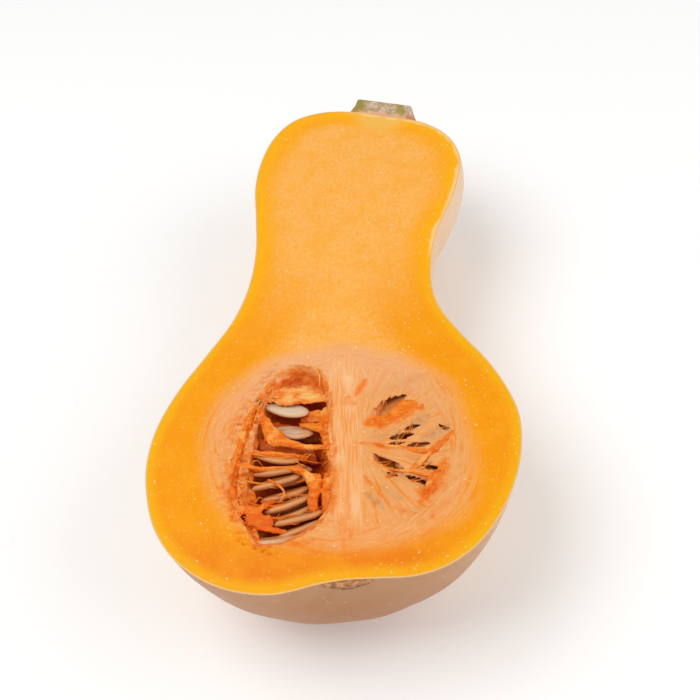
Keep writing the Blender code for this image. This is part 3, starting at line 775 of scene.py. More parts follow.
# %% Seeds of the right pocket
RIGHT_SEEDS = (
    (28.5, -46.6, -4.0, 214, 20, 0.6), (37.0, -54.8, -4.6, 212, 16, 0.7),
    (40.0, -65.0, -3.8, 206, 20, 0.7), (25.2, -61.8, -5.4, 208, 26, 0.9),
    (39.2, -76.4, -4.6, 172, 30, 0.9), (35.4, -84.0, -3.6, 150, 24, 0.7),
    (31.4, -89.6, -3.8, 144, 24, 0.8), (25.4, -95.8, -4.2, 130, 26, 0.8),
    (30.0, -69.6, -7.0, 184, 30, 1.0),
)
bm = bmesh.new()
for x, y, z, aim, tilt, stain in RIGHT_SEEDS:
    add_seed(bm, (x, y, z), aim, tilt, stain)
seeds_right = finished("seeds_of_right_pocket", bm, sharp=SEED_SHARP)
print("seeds on the right:", len(RIGHT_SEEDS))

# %% [markdown]
# ## The web
# The right pocket is still closed by a web of fibres that fans out from the middle wall,
# torn open in slits. It is a grid in rings round the hub: rows run outwards, so ridges
# along the rows are the fibres. Its margin follows the cut face just above it, so that
# no seam shows, and it sags the further it is inside the pocket. Faces inside a slit are
# taken out, with frayed edges, and the sheet is then thickened.

# %% Slits and sizes of the web
# for each slit: its two ends and its half width
SLITS = (
    (13.4, -58.4, 26.2, -50.0, 2.5), (11.2, -63.4, 16.6, -59.3, 0.9), (19.2, -68.3, 27.6, -67.2, 1.5),
    (18.4, -70.7, 24.2, -70.8, 0.8), (24.8, -72.1, 32.6, -71.8, 1.1), (10.6, -73.4, 23.6, -81.3, 1.5),
    (24.2, -64.9, 30.0, -63.7, 0.9), (29.2, -79.8, 35.4, -82.4, 0.9), (36.0, -64.4, 40.4, -68.7, 0.7),
    (17.6, -81.5, 21.4, -83.2, 0.6), (23.6, -83.6, 31.0, -87.0, 1.1), (14.4, -62.0, 19.0, -60.4, 0.5),
)
WEB_ANGLES = (-80.0, 82.0)
WEB_COLUMNS = 270
WEB_ROWS = 92
WEB_OVERLAP = 2.6
WEB_LIFT = 0.02
WEB_THICKNESS = 0.5
WEB_START = 2.5
WEB_BEAM = 1.2
WEB_SHORTEST = 20.0
WEB_EVEN = 6
SAG_REACH = 4.0
FRAY = 0.5
pocket_line = smooth_line(RIGHT_POCKET, 16, closed=True)
print("slits:", len(SLITS))


# %% Distances on the web
def web_reach(angle):
    """How far the web runs from the hub in a direction, to just past the pocket's edge."""
    step = np.array((math.cos(angle), math.sin(angle)))
    away = pocket_line - np.array(HUB)
    ahead = away @ step
    aside = np.abs(away @ np.array((-step[1], step[0])))
    near = ahead[(aside < WEB_BEAM) & (ahead > 0)]
    return (near.max() if len(near) else WEB_SHORTEST) + WEB_OVERLAP


def inset(points, line):
    """How far each point lies inside a closed line, 0 outside it."""
    ends = np.roll(line, -1, axis=0)
    crossed = np.zeros(len(points), int)
    away = np.full(len(points), 1e9)
    for (x0, y0), (x1, y1) in zip(line, ends):
        if y0 != y1:
            at = x0 + (points[:, 1] - y0) / (y1 - y0) * (x1 - x0)
            crossed += ((y0 > points[:, 1]) != (y1 > points[:, 1])) & (points[:, 0] < at)
        away = np.minimum(away, np.hypot(points[:, 0] - x0, points[:, 1] - y0))
    return np.where(crossed % 2 == 1, away, 0.0)


def nearest_share(x, y, marks):
    """Distance to the nearest spindle-shaped mark, as a share of its half width."""
    best = 9.0
    for x0, y0, x1, y1, half in marks:
        dx, dy = x1 - x0, y1 - y0
        length = math.hypot(dx, dy)
        t = ((x - x0) * dx + (y - y0) * dy) / length ** 2
        if -0.15 < t < 1.15:
            aside = abs((x - x0) * dy - (y - y0) * dx) / length
            width = half * max(math.sin(math.pi * min(max(t, 0.0), 1.0)), 0.0) ** 0.7 + 0.001
            best = min(best, aside / width)
    return best


# %% Web over the right pocket
reaches = [web_reach(math.radians(WEB_ANGLES[0] + (WEB_ANGLES[1] - WEB_ANGLES[0]) * i / WEB_COLUMNS))
           for i in range(WEB_COLUMNS + 1)]
window = np.ones(2 * WEB_EVEN + 1) / (2 * WEB_EVEN + 1)
reaches = np.convolve(np.pad(reaches, WEB_EVEN, mode="edge"), window, mode="valid")
share_out = np.linspace(0, 1, WEB_ROWS + 1)[:, None]
turns = np.radians(np.linspace(*WEB_ANGLES, WEB_COLUMNS + 1))[None, :]
lengths = WEB_START + (reaches[None, :] - WEB_START) * share_out
plan = np.stack([HUB.x + np.cos(turns) * lengths, HUB.y + np.sin(turns) * lengths], axis=2)
sunk = np.clip(inset(plan.reshape(-1, 2), pocket_line) / SAG_REACH, 0, 1).reshape(lengths.shape)
sunk = sunk * sunk * (3 - 2 * sunk)
web_rings = []
for k in range(WEB_ROWS + 1):
    ring = []
    for i, (x, y) in enumerate(plan[k].tolist()):
        r = lengths[k, i]
        fibre = noise.noise(Vector((i * 0.15, r * 0.05, 0.0)))
        fibre += 0.7 * noise.noise(Vector((i * 0.4, r * 0.1, 5.0)))
        sag = 0.5 + 0.8 * noise.noise(Vector((x * 0.15, y * 0.15, 9.0)))
        z = face_height(x, y, float(ring_share(x, y))) + WEB_LIFT
        z -= sunk[k, i] * (1.1 * max(sag, 0.0) + 0.34 * (0.6 - fibre))
        ring.append((x, y, min(z, TOP_LIMIT)))
    web_rings.append(ring)
web = wrap("web_right", np.array(web_rings))

# %% Tear the slits and thicken the web
bm = bmesh.new()
bm.from_mesh(web.data)
torn = []
for face in bm.faces:
    x, y = face.calc_center_median().xy / MM
    turn, run = math.atan2(y - HUB.y, x - HUB.x) * 40, math.hypot(x - HUB.x, y - HUB.y) * 0.3
    if nearest_share(x, y, SLITS) < 1.0 + FRAY * noise.noise(Vector((turn, run, 0))):
        torn.append(face)
bmesh.ops.delete(bm, geom=torn, context="FACES")
bmesh.ops.delete(bm, geom=[v for v in bm.verts if not v.link_faces], context="VERTS")
frayed = [v for v in bm.verts if v.is_boundary]
bmesh.ops.smooth_vert(bm, verts=frayed, factor=0.5, use_axis_x=True, use_axis_y=True, use_axis_z=False)
bmesh.ops.reverse_faces(bm, faces=[f for f in bm.faces if f.normal.z < 0])
bmesh.ops.solidify(bm, geom=bm.faces[:], thickness=WEB_THICKNESS * MM)
for v in bm.verts:
    v.co.z = min(v.co.z, (CUT + TOP_LIMIT) * MM)
bmesh.ops.recalc_face_normals(bm, faces=bm.faces)
bm.to_mesh(web.data)
bm.free()
web.data.shade_smooth()
web.data.set_sharp_from_angle(angle=math.radians(40))
print("web:", len(web.data.polygons), "faces, torn", len(torn),
      "top", round(max(v.co.z for v in web.data.vertices) / MM, 2))

# %% [markdown]
# ## What lies under and over the web
# Under the web the right pocket has a lining like the left one's, only smoother. Over it
# lie a few flat shreds of orange pulp, and across each slit a pair of fine threads.

# %% Pulp under the web
RIGHT_HOLLOW = (
    (18.6, -50.0), (23.3, -46.6), (30.6, -50.4), (36.0, -58.0), (37.6, -68.4), (35.4, -80.0),
    (31.6, -89.4), (25.8, -95.0), (20.8, -94.2), (17.4, -87.4), (15.6, -77.4), (15.8, -62.6),
)
RIGHT_FLOOR = 7.5
pulp_right = wrap("pulp_right_mass", lining_rings(RIGHT_POCKET, RIGHT_HOLLOW,
                                                  (RIGHT_DEPTH, RIGHT_FLOOR), 3.2, rough=0.7))
print("pulp under the web:", len(pulp_right.data.polygons), "faces")

# %% Threads and shreds of the right pocket
SLIT_THREADS = 2
# for each: its thickness, then the two lines that it is stretched between
RIGHT_SHREDS = (
    (0.35, ((8.6, -46.4, -0.5), (10.0, -43.6, -0.5), (12.6, -41.2, -0.5)),
     ((10.2, -49.8, -0.8), (11.4, -46.6, -0.9), (13.4, -43.4, -0.8))),
    (0.40, ((11.6, -60.4, -0.9), (19.8, -56.8, -1.0), (25.4, -52.6, -0.9), (31.6, -55.6, -0.8)),
     ((11.6, -63.2, -1.2), (17.2, -63.4, -1.4), (25.4, -59.4, -1.4), (31.0, -57.8, -1.0))),
    (0.30, ((9.6, -69.0, -0.3), (16.4, -70.2, -0.4), (24.5, -72.5, -0.5), (32.0, -74.4, -0.4),
            (35.6, -72.2, -0.4), (40.2, -68.0, -0.3)),
     ((9.6, -70.2, -0.5), (16.4, -71.2, -0.7), (24.5, -73.6, -0.8), (32.0, -75.8, -0.8),
      (36.0, -73.6, -0.6), (40.4, -69.6, -0.4))),
    (0.30, ((25.2, -81.3, -0.5), (29.6, -77.2, -0.4), (32.5, -74.9, -0.4), (38.6, -69.8, -0.3)),
     ((26.0, -82.5, -0.9), (30.2, -78.6, -0.8), (33.3, -76.1, -0.7), (39.0, -71.2, -0.5))),
    (0.28, ((12.3, -76.4, -0.4), (18.6, -80.0, -0.5), (25.5, -81.8, -0.5), (31.3, -84.0, -0.5)),
     ((12.3, -77.4, -0.8), (18.6, -81.0, -0.9), (25.5, -82.8, -0.9), (31.3, -85.0, -0.8))),
    (0.22, ((28.8, -92.6, -0.5), (31.4, -84.8, -0.6), (36.8, -79.6, -0.4)),
     ((30.6, -93.6, -0.5), (34.6, -87.8, -0.8), (38.0, -81.4, -0.5))),
)
bm = bmesh.new()
for thickness, first, second in RIGHT_SHREDS:
    wrap_into(bm, ribbon_rings(first, second, thickness, ragged=0.4))
for x0, y0, x1, y1, half in SLITS:
    for _ in range(SLIT_THREADS):
        t = draw.uniform(0.2, 0.8)
        x, y = x0 + (x1 - x0) * t, y0 + (y1 - y0) * t
        slant = math.atan2(y1 - y0, x1 - x0) + draw.uniform(0.5, 1.2)
        dx, dy = math.cos(slant) * (half + 1.6), math.sin(slant) * (half + 1.6)
        wrap_into(bm, thread_rings(((x - dx, y - dy, -0.8), (x, y, -draw.uniform(0.8, 1.6)),
                                    (x + dx, y + dy, -0.9)), draw.uniform(0.13, 0.24)))
bmesh.ops.recalc_face_normals(bm, faces=bm.faces)
shreds_right = finished("pulp_right_shreds", bm)
print("shreds of the right pocket:", len(shreds_right.data.polygons), "faces")

# %% [markdown]
# ## The stem stub
# The stem was cut through with the fruit, so half of it is left: five blunt ribs, a flare
# where it sits on the neck, and a flat face in line with the cut. Its lowest rows sink a
# little under the cut, so that the flesh closes round its foot.

# %% Stem
STEM_SEAT = np.array((25.6, 107.0))
STEM_TOP = np.array((26.9, 117.6))
STEM_ALONG = np.array((0.922, -0.388)) / np.linalg.norm((0.922, -0.388))
STEM_SHARES = (-0.22, 0.0, 0.25, 0.55, 0.86, 0.95)
STEM_RADII = (15.1, 15.5, 14.5, 13.5, 12.7, 11.9)
STEM_RIBS = 5
STEM_RIB_DEPTH = 0.09
STEM_AROUND = 96
STEM_FACE_COLUMNS = 48
STEM_FACE_DROP = 0.16
STEM_FOOT_DROP = 0.7
stem_rows = smooth_line(np.column_stack([STEM_SHARES, STEM_RADII]), 9)
stem_rings = []
for share, radius in stem_rows:
    centre = STEM_SEAT + (STEM_TOP - STEM_SEAT) * share
    turn = np.linspace(0, math.pi, STEM_AROUND + 1)
    r = radius * (1 + STEM_RIB_DEPTH * np.cos(STEM_RIBS * (turn - math.pi / 2)))
    for k, t in enumerate(turn):
        r[k] += 0.4 * noise.noise(Vector((math.cos(t) * 5, math.sin(t) * 5, share * 3)))
        r[k] += 0.2 * noise.noise(Vector((math.cos(t) * 17, math.sin(t) * 17, share * 9)))
    r = np.minimum(r, radius * 1.08)
    under = np.column_stack([centre + np.outer(r * np.cos(turn), STEM_ALONG), -r * np.sin(turn)])
    across = np.linspace(0, 1, STEM_FACE_COLUMNS + 1)[:, None]
    face = under[-1] + (under[0] - under[-1]) * across
    sunk_foot = STEM_FOOT_DROP * min(max((0.10 - share) / 0.1, 0.0), 1.0)
    face[:, 2] = [-STEM_FACE_DROP - sunk_foot + 0.12 * noise.noise(Vector((p[0], p[1], 0.0)) / 1.1)
                  for p in face.tolist()]
    under[0, 2], under[-1, 2] = face[-1, 2], face[0, 2]
    stem_rings.append(np.vstack([under, face[1:]]))
caps = [np.tile(ring.mean(0), (len(ring), 1)) for ring in (stem_rings[0], stem_rings[-1])]
stem = wrap("stem_stub", np.array([caps[0]] + stem_rings + [caps[1]]))
print("stem:", len(stem.data.polygons), "faces")

# %% [markdown]
# ## The blossom scar
# Where the flower sat there is a corky disc, and the cut went through its middle. It is
# half of a rough flat ball on the blossom end, just under the edge of the cut.

# %% Scar
SCAR_MIDDLE = (3.6, -119.9, -0.3)
SCAR_SIZE = (7.6, 1.7, 3.6)
SCAR_TOP = 0.30
bm = bmesh.new()
bmesh.ops.create_uvsphere(bm, u_segments=72, v_segments=48, radius=1.0)
for v in bm.verts:
    rough = 1 + 0.14 * bumps(v.co.x * 2.4, v.co.y * 2.4, v.co.z * 2.4, 1.0)
    v.co = [(m + c * q * rough) * MM for m, c, q in zip(SCAR_MIDDLE, v.co, SCAR_SIZE)]
    v.co.z += CUT * MM
bmesh.ops.bisect_plane(bm, geom=bm.verts[:] + bm.edges[:] + bm.faces[:], clear_outer=True,
                       plane_co=(0, 0, (CUT - SCAR_TOP) * MM), plane_no=(0, 0, 1))
bmesh.ops.contextual_create(bm, geom=[e for e in bm.edges if e.is_boundary])
bmesh.ops.recalc_face_normals(bm, faces=bm.faces)
scar = finished("blossom_scar", bm)
print("scar:", len(scar.data.polygons), "faces")

# %% [markdown]
# ## Colours
# Colours are given as they look on a screen, 0 to 255, and turned into the linear values
# that materials want.

# %% Colour helper and node helpers
def paint(r, g, b):
    return tuple(((c / 255 + 0.055) / 1.055) ** 2.4 if c > 10 else c / 255 / 12.92
                 for c in (r, g, b)) + (1.0,)


def new_material(name, roughness, subsurface=0.0):
    mat = bpy.data.materials.new(name)
    mat.use_nodes = True
    shader = mat.node_tree.nodes["Principled BSDF"]
    shader.inputs["Roughness"].default_value = roughness
    if subsurface:
        shader.inputs["Subsurface Weight"].default_value = subsurface
        shader.inputs["Subsurface Radius"].default_value = (1.0, 0.45, 0.15)
        shader.inputs["Subsurface Scale"].default_value = 2.5 * MM
    return mat, shader


def add_node(mat, kind, **values):
    node = mat.node_tree.nodes.new(kind)
    for key, value in values.items():
        if key in node.inputs:
            node.inputs[key].default_value = value
        else:
            setattr(node, key, value)
    return node


def link(mat, output, target):
    mat.node_tree.links.new(output, target)


def blend_colours(mat, factor, first, second):
    """Mixes two colours or colour outputs by a factor output, and returns the output."""
    node = mat.node_tree.nodes.new("ShaderNodeMix")
    node.data_type = "RGBA"
    for socket, value in ((node.inputs[6], first), (node.inputs[7], second)):
        if isinstance(value, tuple):
            socket.default_value = value
        else:
            link(mat, value, socket)
    if isinstance(factor, float):
        node.inputs[0].default_value = factor
    else:
        link(mat, factor, node.inputs[0])
    return node.outputs[2]


def band(mat, value, low, high):
    """0 below low and 1 above high, smooth between."""
    node = mat.node_tree.nodes.new("ShaderNodeMapRange")
    node.interpolation_type = "SMOOTHSTEP"
    link(mat, value, node.inputs["Value"])
    node.inputs["From Min"].default_value = low
    node.inputs["From Max"].default_value = high
    return node.outputs["Result"]


def two_tone(mat, value, low, high, first, second):
    """The first colour where the value is under low, the second where it is over high."""
    return blend_colours(mat, band(mat, value, low, high), first, second)


def place_on(mat):
    """Where a point of the object is: outputs X, Y and Z, in metres."""
    split = add_node(mat, "ShaderNodeSeparateXYZ")
    link(mat, add_node(mat, "ShaderNodeTexCoord").outputs["Object"], split.inputs[0])
    return split.outputs


def pattern(mat, scale, stretch=(1, 1, 1), detail=3.0, vector=None, roughness=0.5):
    """Noise on object coordinates, in cycles per metre, or on a given vector."""
    if vector is None:
        vector = add_node(mat, "ShaderNodeTexCoord").outputs["Object"]
    mapping = add_node(mat, "ShaderNodeMapping")
    mapping.inputs["Scale"].default_value = stretch
    link(mat, vector, mapping.inputs["Vector"])
    node = add_node(mat, "ShaderNodeTexNoise", Scale=scale, Detail=detail, Roughness=roughness)
    link(mat, mapping.outputs["Vector"], node.inputs["Vector"])
    return node.outputs["Fac"]


def bump(mat, shader, height, strength, distance):
    node = add_node(mat, "ShaderNodeBump", Strength=strength, Distance=distance)
    link(mat, height, node.inputs["Height"])
    link(mat, node.outputs["Normal"], shader.inputs["Normal"])
    return node


# %% [markdown]
# ## Where the flesh changes colour
# The flesh is yellow under the rind, deep orange further in, pale in the neck and pink in
# the ring of fibres. Those zones follow the shape and not the axes, so each point of the
# mesh carries how far it is from the rim, how far into the ring it is, and two running
# lengths, along and across the fibres. Strings of orange pulp and seeds that show through
# the web are marked by short lines, and each point keeps how strongly they colour it.

# %% Marks on the cut
# for each: the two ends of its line, its half width and its strength
BRIGHT = (
    (12.0, -61.8, 29.0, -55.2, 3.4, 1.0), (8.8, -49.0, 12.6, -42.4, 1.5, 0.7),
    (9.0, -69.4, 33.0, -75.0, 1.2, 0.7), (31.5, -75.4, 40.4, -68.4, 1.3, 0.8),
    (25.0, -82.4, 39.0, -70.0, 1.0, 0.7), (28.4, -93.6, 36.6, -80.0, 3.6, 0.85),
    (11.8, -76.8, 32.0, -84.8, 0.9, 0.6), (9.8, -81.8, 19.0, -96.0, 1.1, 0.6),
    (17.6, -94.6, 26.6, -98.4, 1.0, 0.5), (4.4, -51.6, 8.4, -52.6, 2.0, 0.5),
    (0.0, -46.0, 0.0, -62.0, 1.0, 0.75), (0.2, -62.0, 1.4, -78.0, 1.0, 0.65),
    (1.0, -78.0, -0.2, -96.0, 1.7, 0.7), (2.6, -96.0, 3.0, -108.0, 1.6, 0.5),
    (-31.0, -48.6, -27.0, -47.0, 1.6, 0.55), (-33.6, -55.0, -29.6, -54.0, 1.8, 0.55),
    (-36.0, -63.0, -32.4, -61.0, 1.8, 0.5), (-36.6, -80.0, -30.0, -96.0, 1.2, 0.6),
    (4.6, -48.6, 6.6, -52.0, 2.4, 0.5), (-27.0, -104.8, -16.3, -107.8, 2.2, 0.8),
    (-17.5, -107.6, -6.0, -104.6, 2.0, 0.7), (-34.6, -88.0, -30.6, -98.0, 1.6, 0.6),
    (4.6, -84.0, 5.4, -108.0, 1.2, 0.4), (30.0, -101.0, 40.0, -92.0, 1.6, 0.4),
)
GREY = (
    (25.4, -65.4, 33.0, -59.8, 2.6, 1.2), (30.0, -70.4, 39.4, -65.2, 2.6, 1.2),
    (22.0, -82.6, 31.6, -87.4, 2.4, 1.2), (10.4, -89.0, 16.0, -95.4, 1.9, 1.1),
    (15.6, -87.0, 22.4, -92.6, 2.0, 0.9), (19.0, -47.4, 34.0, -42.6, 3.2, 0.7),
    (13.0, -67.4, 25.0, -65.0, 2.0, 0.8), (14.0, -79.6, 27.0, -86.0, 2.2, 0.7),
    (24.0, -76.0, 33.0, -79.6, 1.6, 0.9), (12.0, -50.0, 20.0, -49.0, 2.0, 0.5),
)
print("marks:", len(BRIGHT), "bright,", len(GREY), "grey")


def mark_strength(x, y, marks):
    """How strongly the marks colour a place, fading outwards from each one's line."""
    best = 0.0
    for x0, y0, x1, y1, half, strength in marks:
        dx, dy = x1 - x0, y1 - y0
        t = min(max(((x - x0) * dx + (y - y0) * dy) / (dx * dx + dy * dy), 0.0), 1.0)
        away = math.hypot(x - x0 - t * dx, y - y0 - t * dy)
        width = half * (0.35 + 0.65 * math.sin(math.pi * t) ** 0.6)
        best = max(best, strength * math.exp(-0.7 * (away / width) ** 2))
    return best


# %% Measure the zones
SEPTUM_HALF = 7.5
SEPTUM_SOFT = 4.0
WEB_ZONE = 0.86
RING_ZONE = 1.15


def add_zones(piece):
    mesh = piece.data
    count = len(mesh.vertices)
    co = np.empty(count * 3)
    mesh.vertices.foreach_get("co", co)
    co = co.reshape(-1, 3) / MM
    tree = kdtree.KDTree(len(outline))
    for i, p in enumerate(outline):
        tree.insert((p[0], p[1], 0.0), i)
    tree.balance()
    rim = np.array([tree.find((p[0], p[1], 0.0))[2] for p in co.tolist()])
    x, y, depth = co[:, 0], co[:, 1], CUT - co[:, 2]
    share = ring_share(x, y)
    angle = np.arctan2(y - RING_CENTRE[1], x - RING_CENTRE[0])
    away = np.hypot(x - RING_CENTRE[0], y - RING_CENTRE[1])
    from_wall = np.abs(x - WALL_MIDDLE + (y - RING_CENTRE[1]) * 0.015)
    septum = np.clip((SEPTUM_HALF - from_wall) / SEPTUM_SOFT, 0, 1) * np.clip((1.0 - share) / 0.3, 0, 1)
    hub_away = np.hypot(x - HUB.x, y - HUB.y)
    hub_angle = np.arctan2(y - HUB.y, x - HUB.x)
    web_part = np.clip((x - HUB.x - 1.0) / 3.0, 0, 1) * np.clip((WEB_ZONE - share) / 0.12, 0, 1)
    across = np.where(septum > 0.5, x * 0.9, np.where(web_part > 0.5, hub_angle * 26.0,
                      np.where(share < RING_ZONE, away, x * 0.5)))
    along = np.where(septum > 0.5, y * 0.045, np.where(web_part > 0.5, hub_away * 0.12,
                     np.where(share < RING_ZONE, angle * 5.0, y * 0.1)))
    near = [i for i, (s, d) in enumerate(zip(share.tolist(), depth.tolist())) if s < 1.0 and d < 4.0]
    bright, grey = np.zeros(count), np.zeros(count)
    for i in near:
        bright[i] = mark_strength(x[i], y[i], BRIGHT)
        grey[i] = mark_strength(x[i], y[i], GREY)
    for name, values in (("rim", rim), ("depth", depth), ("ring", share), ("septum", septum),
                         ("bright", bright), ("grey", grey)):
        mesh.attributes.new(name, "FLOAT", "POINT").data.foreach_set("value", values.astype(np.float32))
    fibre = np.column_stack([across, along, depth * 0.5]).astype(np.float32)
    mesh.attributes.new("fibre", "FLOAT_VECTOR", "POINT").data.foreach_set("vector", fibre.ravel())


for piece in (flesh, web):
    add_zones(piece)
print("zones measured on flesh and web")

# %% [markdown]
# ## Finishes
# Rind first: tan, a little blotched, with fine pores and a soft wax sheen. Its right side is
# painted paler as painted light, and its front and underside darker as painted shade. The band
# next to the cut, seen edge on, is cream.

# %% Rind finish
def zone(mat, name):
    return add_node(mat, "ShaderNodeAttribute", attribute_name=name).outputs["Fac"]


def rind_finish():
    mat, shader = new_material("waxy_tan_rind", 0.42, subsurface=0.08)
    place = place_on(mat)
    cloud = pattern(mat, 28.0, stretch=(1, 0.35, 1), detail=4.0)
    tan = two_tone(mat, cloud, 0.35, 0.7, paint(224, 168, 108), paint(238, 190, 134))
    grown = pattern(mat, 150.0, stretch=(1, 0.1, 1), detail=4.0)
    streaked = two_tone(mat, grown, 0.42, 0.68, tan, paint(234, 194, 150))
    tan = blend_colours(mat, 0.5, tan, streaked)
    # painted light: the right side of the rind is painted paler, as where the light falls on it
    painted_light_side = two_tone(mat, place["X"], 0.012, 0.055, tan, paint(244, 212, 184))
    tan = blend_colours(mat, 0.6, tan, painted_light_side)
    # painted shade: the front and the underside of the rind, towards the blossom end, are painted darker
    front = two_tone(mat, place["Y"], -0.085, -0.114, tan, paint(176, 110, 62))
    under = two_tone(mat, place["Z"], 0.052, 0.022, tan, front)
    tan = blend_colours(mat, 0.65, under, front)
    specks = pattern(mat, 420.0, detail=2.0)
    tan = two_tone(mat, specks, 0.67, 0.76, tan, paint(206, 158, 114))
    cream = band(mat, place["Z"], (CUT - 0.22) * MM, (CUT - 0.12) * MM)
    link(mat, blend_colours(mat, cream, tan, paint(240, 186, 112)), shader.inputs["Base Color"])
    bump(mat, shader, pattern(mat, 900.0, detail=3.0), 0.12, 0.0003)
    return mat


# %% [markdown]
# The cut flesh is one piece with three kinds of colour, so its finish is built in three
# steps: the firm flesh, the fibres of the ring and the wall, and then what lies over both,
# such as torn strings, pale specks of painted highlight on beads of moisture, the paler flesh
# at the stem and the pocket walls, redder and, further down, darker with painted shade.

# %% Colour of the firm flesh
def plus(mat, a, b, factor=1.0):
    """a + b * factor, from two outputs."""
    node = add_node(mat, "ShaderNodeMath", operation="MULTIPLY_ADD")
    link(mat, b, node.inputs[0])
    node.inputs[1].default_value = factor
    link(mat, a, node.inputs[2])
    return node.outputs[0]


def firm_flesh(mat, place, cloud, grains):
    """Yellow under the rind, orange in the bulb, pale in the neck, deepest at the blossom end."""
    from_rim = plus(mat, zone(mat, "rim"), cloud, 3.0)
    inwards = plus(mat, plus(mat, from_rim, cloud, 7.0), grains, 6.0)
    core = two_tone(mat, grains, 0.34, 0.66, paint(251, 172, 66), paint(250, 183, 98))
    yellow = two_tone(mat, from_rim, 3.5, 9.0, paint(252, 177, 4), paint(252, 168, 18))
    waist = two_tone(mat, inwards, 11.0, 22.0, yellow, core)
    top = two_tone(mat, inwards, 15.0, 24.0, yellow, core)
    neck = two_tone(mat, place["Y"], 0.060, 0.100, waist, top)
    bulb = two_tone(mat, from_rim, 2.0, 7.0, paint(247, 178, 4), paint(246, 153, 0))
    bulb = two_tone(mat, inwards, 24.0, 40.0, bulb, core)
    colour = two_tone(mat, place["Y"], -0.03, 0.03, bulb, neck)
    deep = two_tone(mat, from_rim, 3.0, 8.0, paint(247, 172, 14), paint(239, 130, 12))
    deep = two_tone(mat, place["Y"], -0.094, -0.116, colour, deep)
    colour = two_tone(mat, place["X"], 0.022, 0.048, deep, colour)
    mottle = two_tone(mat, pattern(mat, 110.0, detail=4.0), 0.4, 0.7, colour, paint(251, 166, 22))
    colour = blend_colours(mat, 0.4, colour, mottle)
    flecks = two_tone(mat, grains, 0.56, 0.70, colour, paint(254, 186, 70))
    return blend_colours(mat, 0.3, colour, flecks)


# %% Colour of the fibres
def fibrous_flesh(mat, place, colour, cloud, fibre, streaks):
    """Adds the pink ring of fibres and the pale wall between the pockets."""
    broad = pattern(mat, 0.6, vector=fibre, detail=3.0)
    pink = two_tone(mat, streaks, 0.3, 0.7, paint(238, 152, 72), paint(242, 176, 116))
    pink = two_tone(mat, broad, 0.52, 0.68, pink, paint(242, 138, 40))
    upper = two_tone(mat, place["Y"], -0.060, -0.030, pink, paint(238, 180, 134))
    pink = blend_colours(mat, 0.55, pink, upper)
    colour = two_tone(mat, plus(mat, zone(mat, "ring"), cloud, 0.16), 1.16, 0.94, colour, pink)
    pale = two_tone(mat, streaks, 0.30, 0.74, paint(240, 148, 64), paint(247, 192, 136))
    milky = pattern(mat, 210.0, stretch=(1, 0.3, 1), detail=4.0)
    pale = two_tone(mat, milky, 0.52, 0.80, pale, paint(247, 196, 144))
    return blend_colours(mat, zone(mat, "septum"), colour, pale)


# %% Colour of what is torn, and of the edges
STEM_FOOT = (STEM_SEAT[0] * MM, (STEM_SEAT[1] + 1.0) * MM, CUT * MM)


def marked_flesh(mat, place, colour, streaks, grains):
    """Adds torn strings, painted highlights on specks of moisture, the foot of the stem, the peel and the
    pocket walls, redder and darker downwards with painted shade.
    """
    torn = pattern(mat, 330.0, detail=5.0, roughness=0.6)
    rough = plus(mat, plus(mat, streaks, streaks, 0.9), torn, 1.5)
    shadowed = two_tone(mat, torn, 0.4, 0.6, paint(202, 130, 76), paint(220, 164, 112))
    colour = two_tone(mat, plus(mat, rough, zone(mat, "grey"), 1.0), 1.95, 3.2, colour, shadowed)
    vivid = plus(mat, rough, zone(mat, "bright"), 1.2)
    colour = two_tone(mat, vivid, 1.9, 2.9, colour, paint(242, 120, 18))
    # painted highlight: pale specks are glints on beads of moisture
    colour = two_tone(mat, pattern(mat, 1000.0, detail=2.0), 0.68, 0.77, colour, paint(254, 214, 150))
    from_stem = add_node(mat, "ShaderNodeVectorMath", operation="DISTANCE")
    link(mat, add_node(mat, "ShaderNodeTexCoord").outputs["Object"], from_stem.inputs[0])
    from_stem.inputs[1].default_value = STEM_FOOT
    near_stem = plus(mat, from_stem.outputs["Value"], grains, 0.004)
    colour = two_tone(mat, near_stem, 0.0175, 0.0085, colour, paint(244, 186, 84))
    peel = plus(mat, zone(mat, "rim"), pattern(mat, 260.0, stretch=(1, 0.4, 1), detail=4.0), 5.0)
    cream = two_tone(mat, place["X"], 0.004, 0.020, colour, paint(252, 205, 132))
    cream = two_tone(mat, place["Y"], 0.012, 0.024, colour, cream)
    colour = two_tone(mat, peel, 4.8, 3.2, colour, cream)
    # the pocket walls turn redder near the cut, their own colour, and darker further down as painted
    # shade
    depth = zone(mat, "depth")
    colour = two_tone(mat, depth, 0.9, 3.0, colour, paint(224, 112, 36))
    return two_tone(mat, depth, 3.0, 12.0, colour, paint(196, 76, 18))


# %% Flesh finish
def flesh_finish():
    mat, shader = new_material("moist_flesh", 0.42, subsurface=0.12)
    shader.inputs["Specular IOR Level"].default_value = 0.14
    place = place_on(mat)
    cloud = pattern(mat, 45.0, detail=3.0)
    grains = pattern(mat, 820.0, stretch=(1, 0.7, 1), detail=4.0, roughness=0.65)
    fibre = add_node(mat, "ShaderNodeAttribute", attribute_name="fibre").outputs["Vector"]
    streaks = pattern(mat, 2.0, vector=fibre, detail=5.0, roughness=0.65)
    colour = firm_flesh(mat, place, cloud, grains)
    colour = fibrous_flesh(mat, place, colour, cloud, fibre, streaks)
    colour = marked_flesh(mat, place, colour, streaks, grains)
    link(mat, colour, shader.inputs["Base Color"])
    bump(mat, shader, streaks, 0.3, 0.0003)
    return mat


# %% [markdown]
# Pulp and seeds get darker and redder further down in a pocket, because the light there
# has gone through so much orange flesh. Their streaks run along the strings.

# %% Pulp finishes
def depth_below(mat, low, high):
    """0 at low mm under the cut, 1 at high mm."""
    place = place_on(mat)
    return band(mat, place["Z"], (CUT - low) * MM, (CUT - high) * MM)


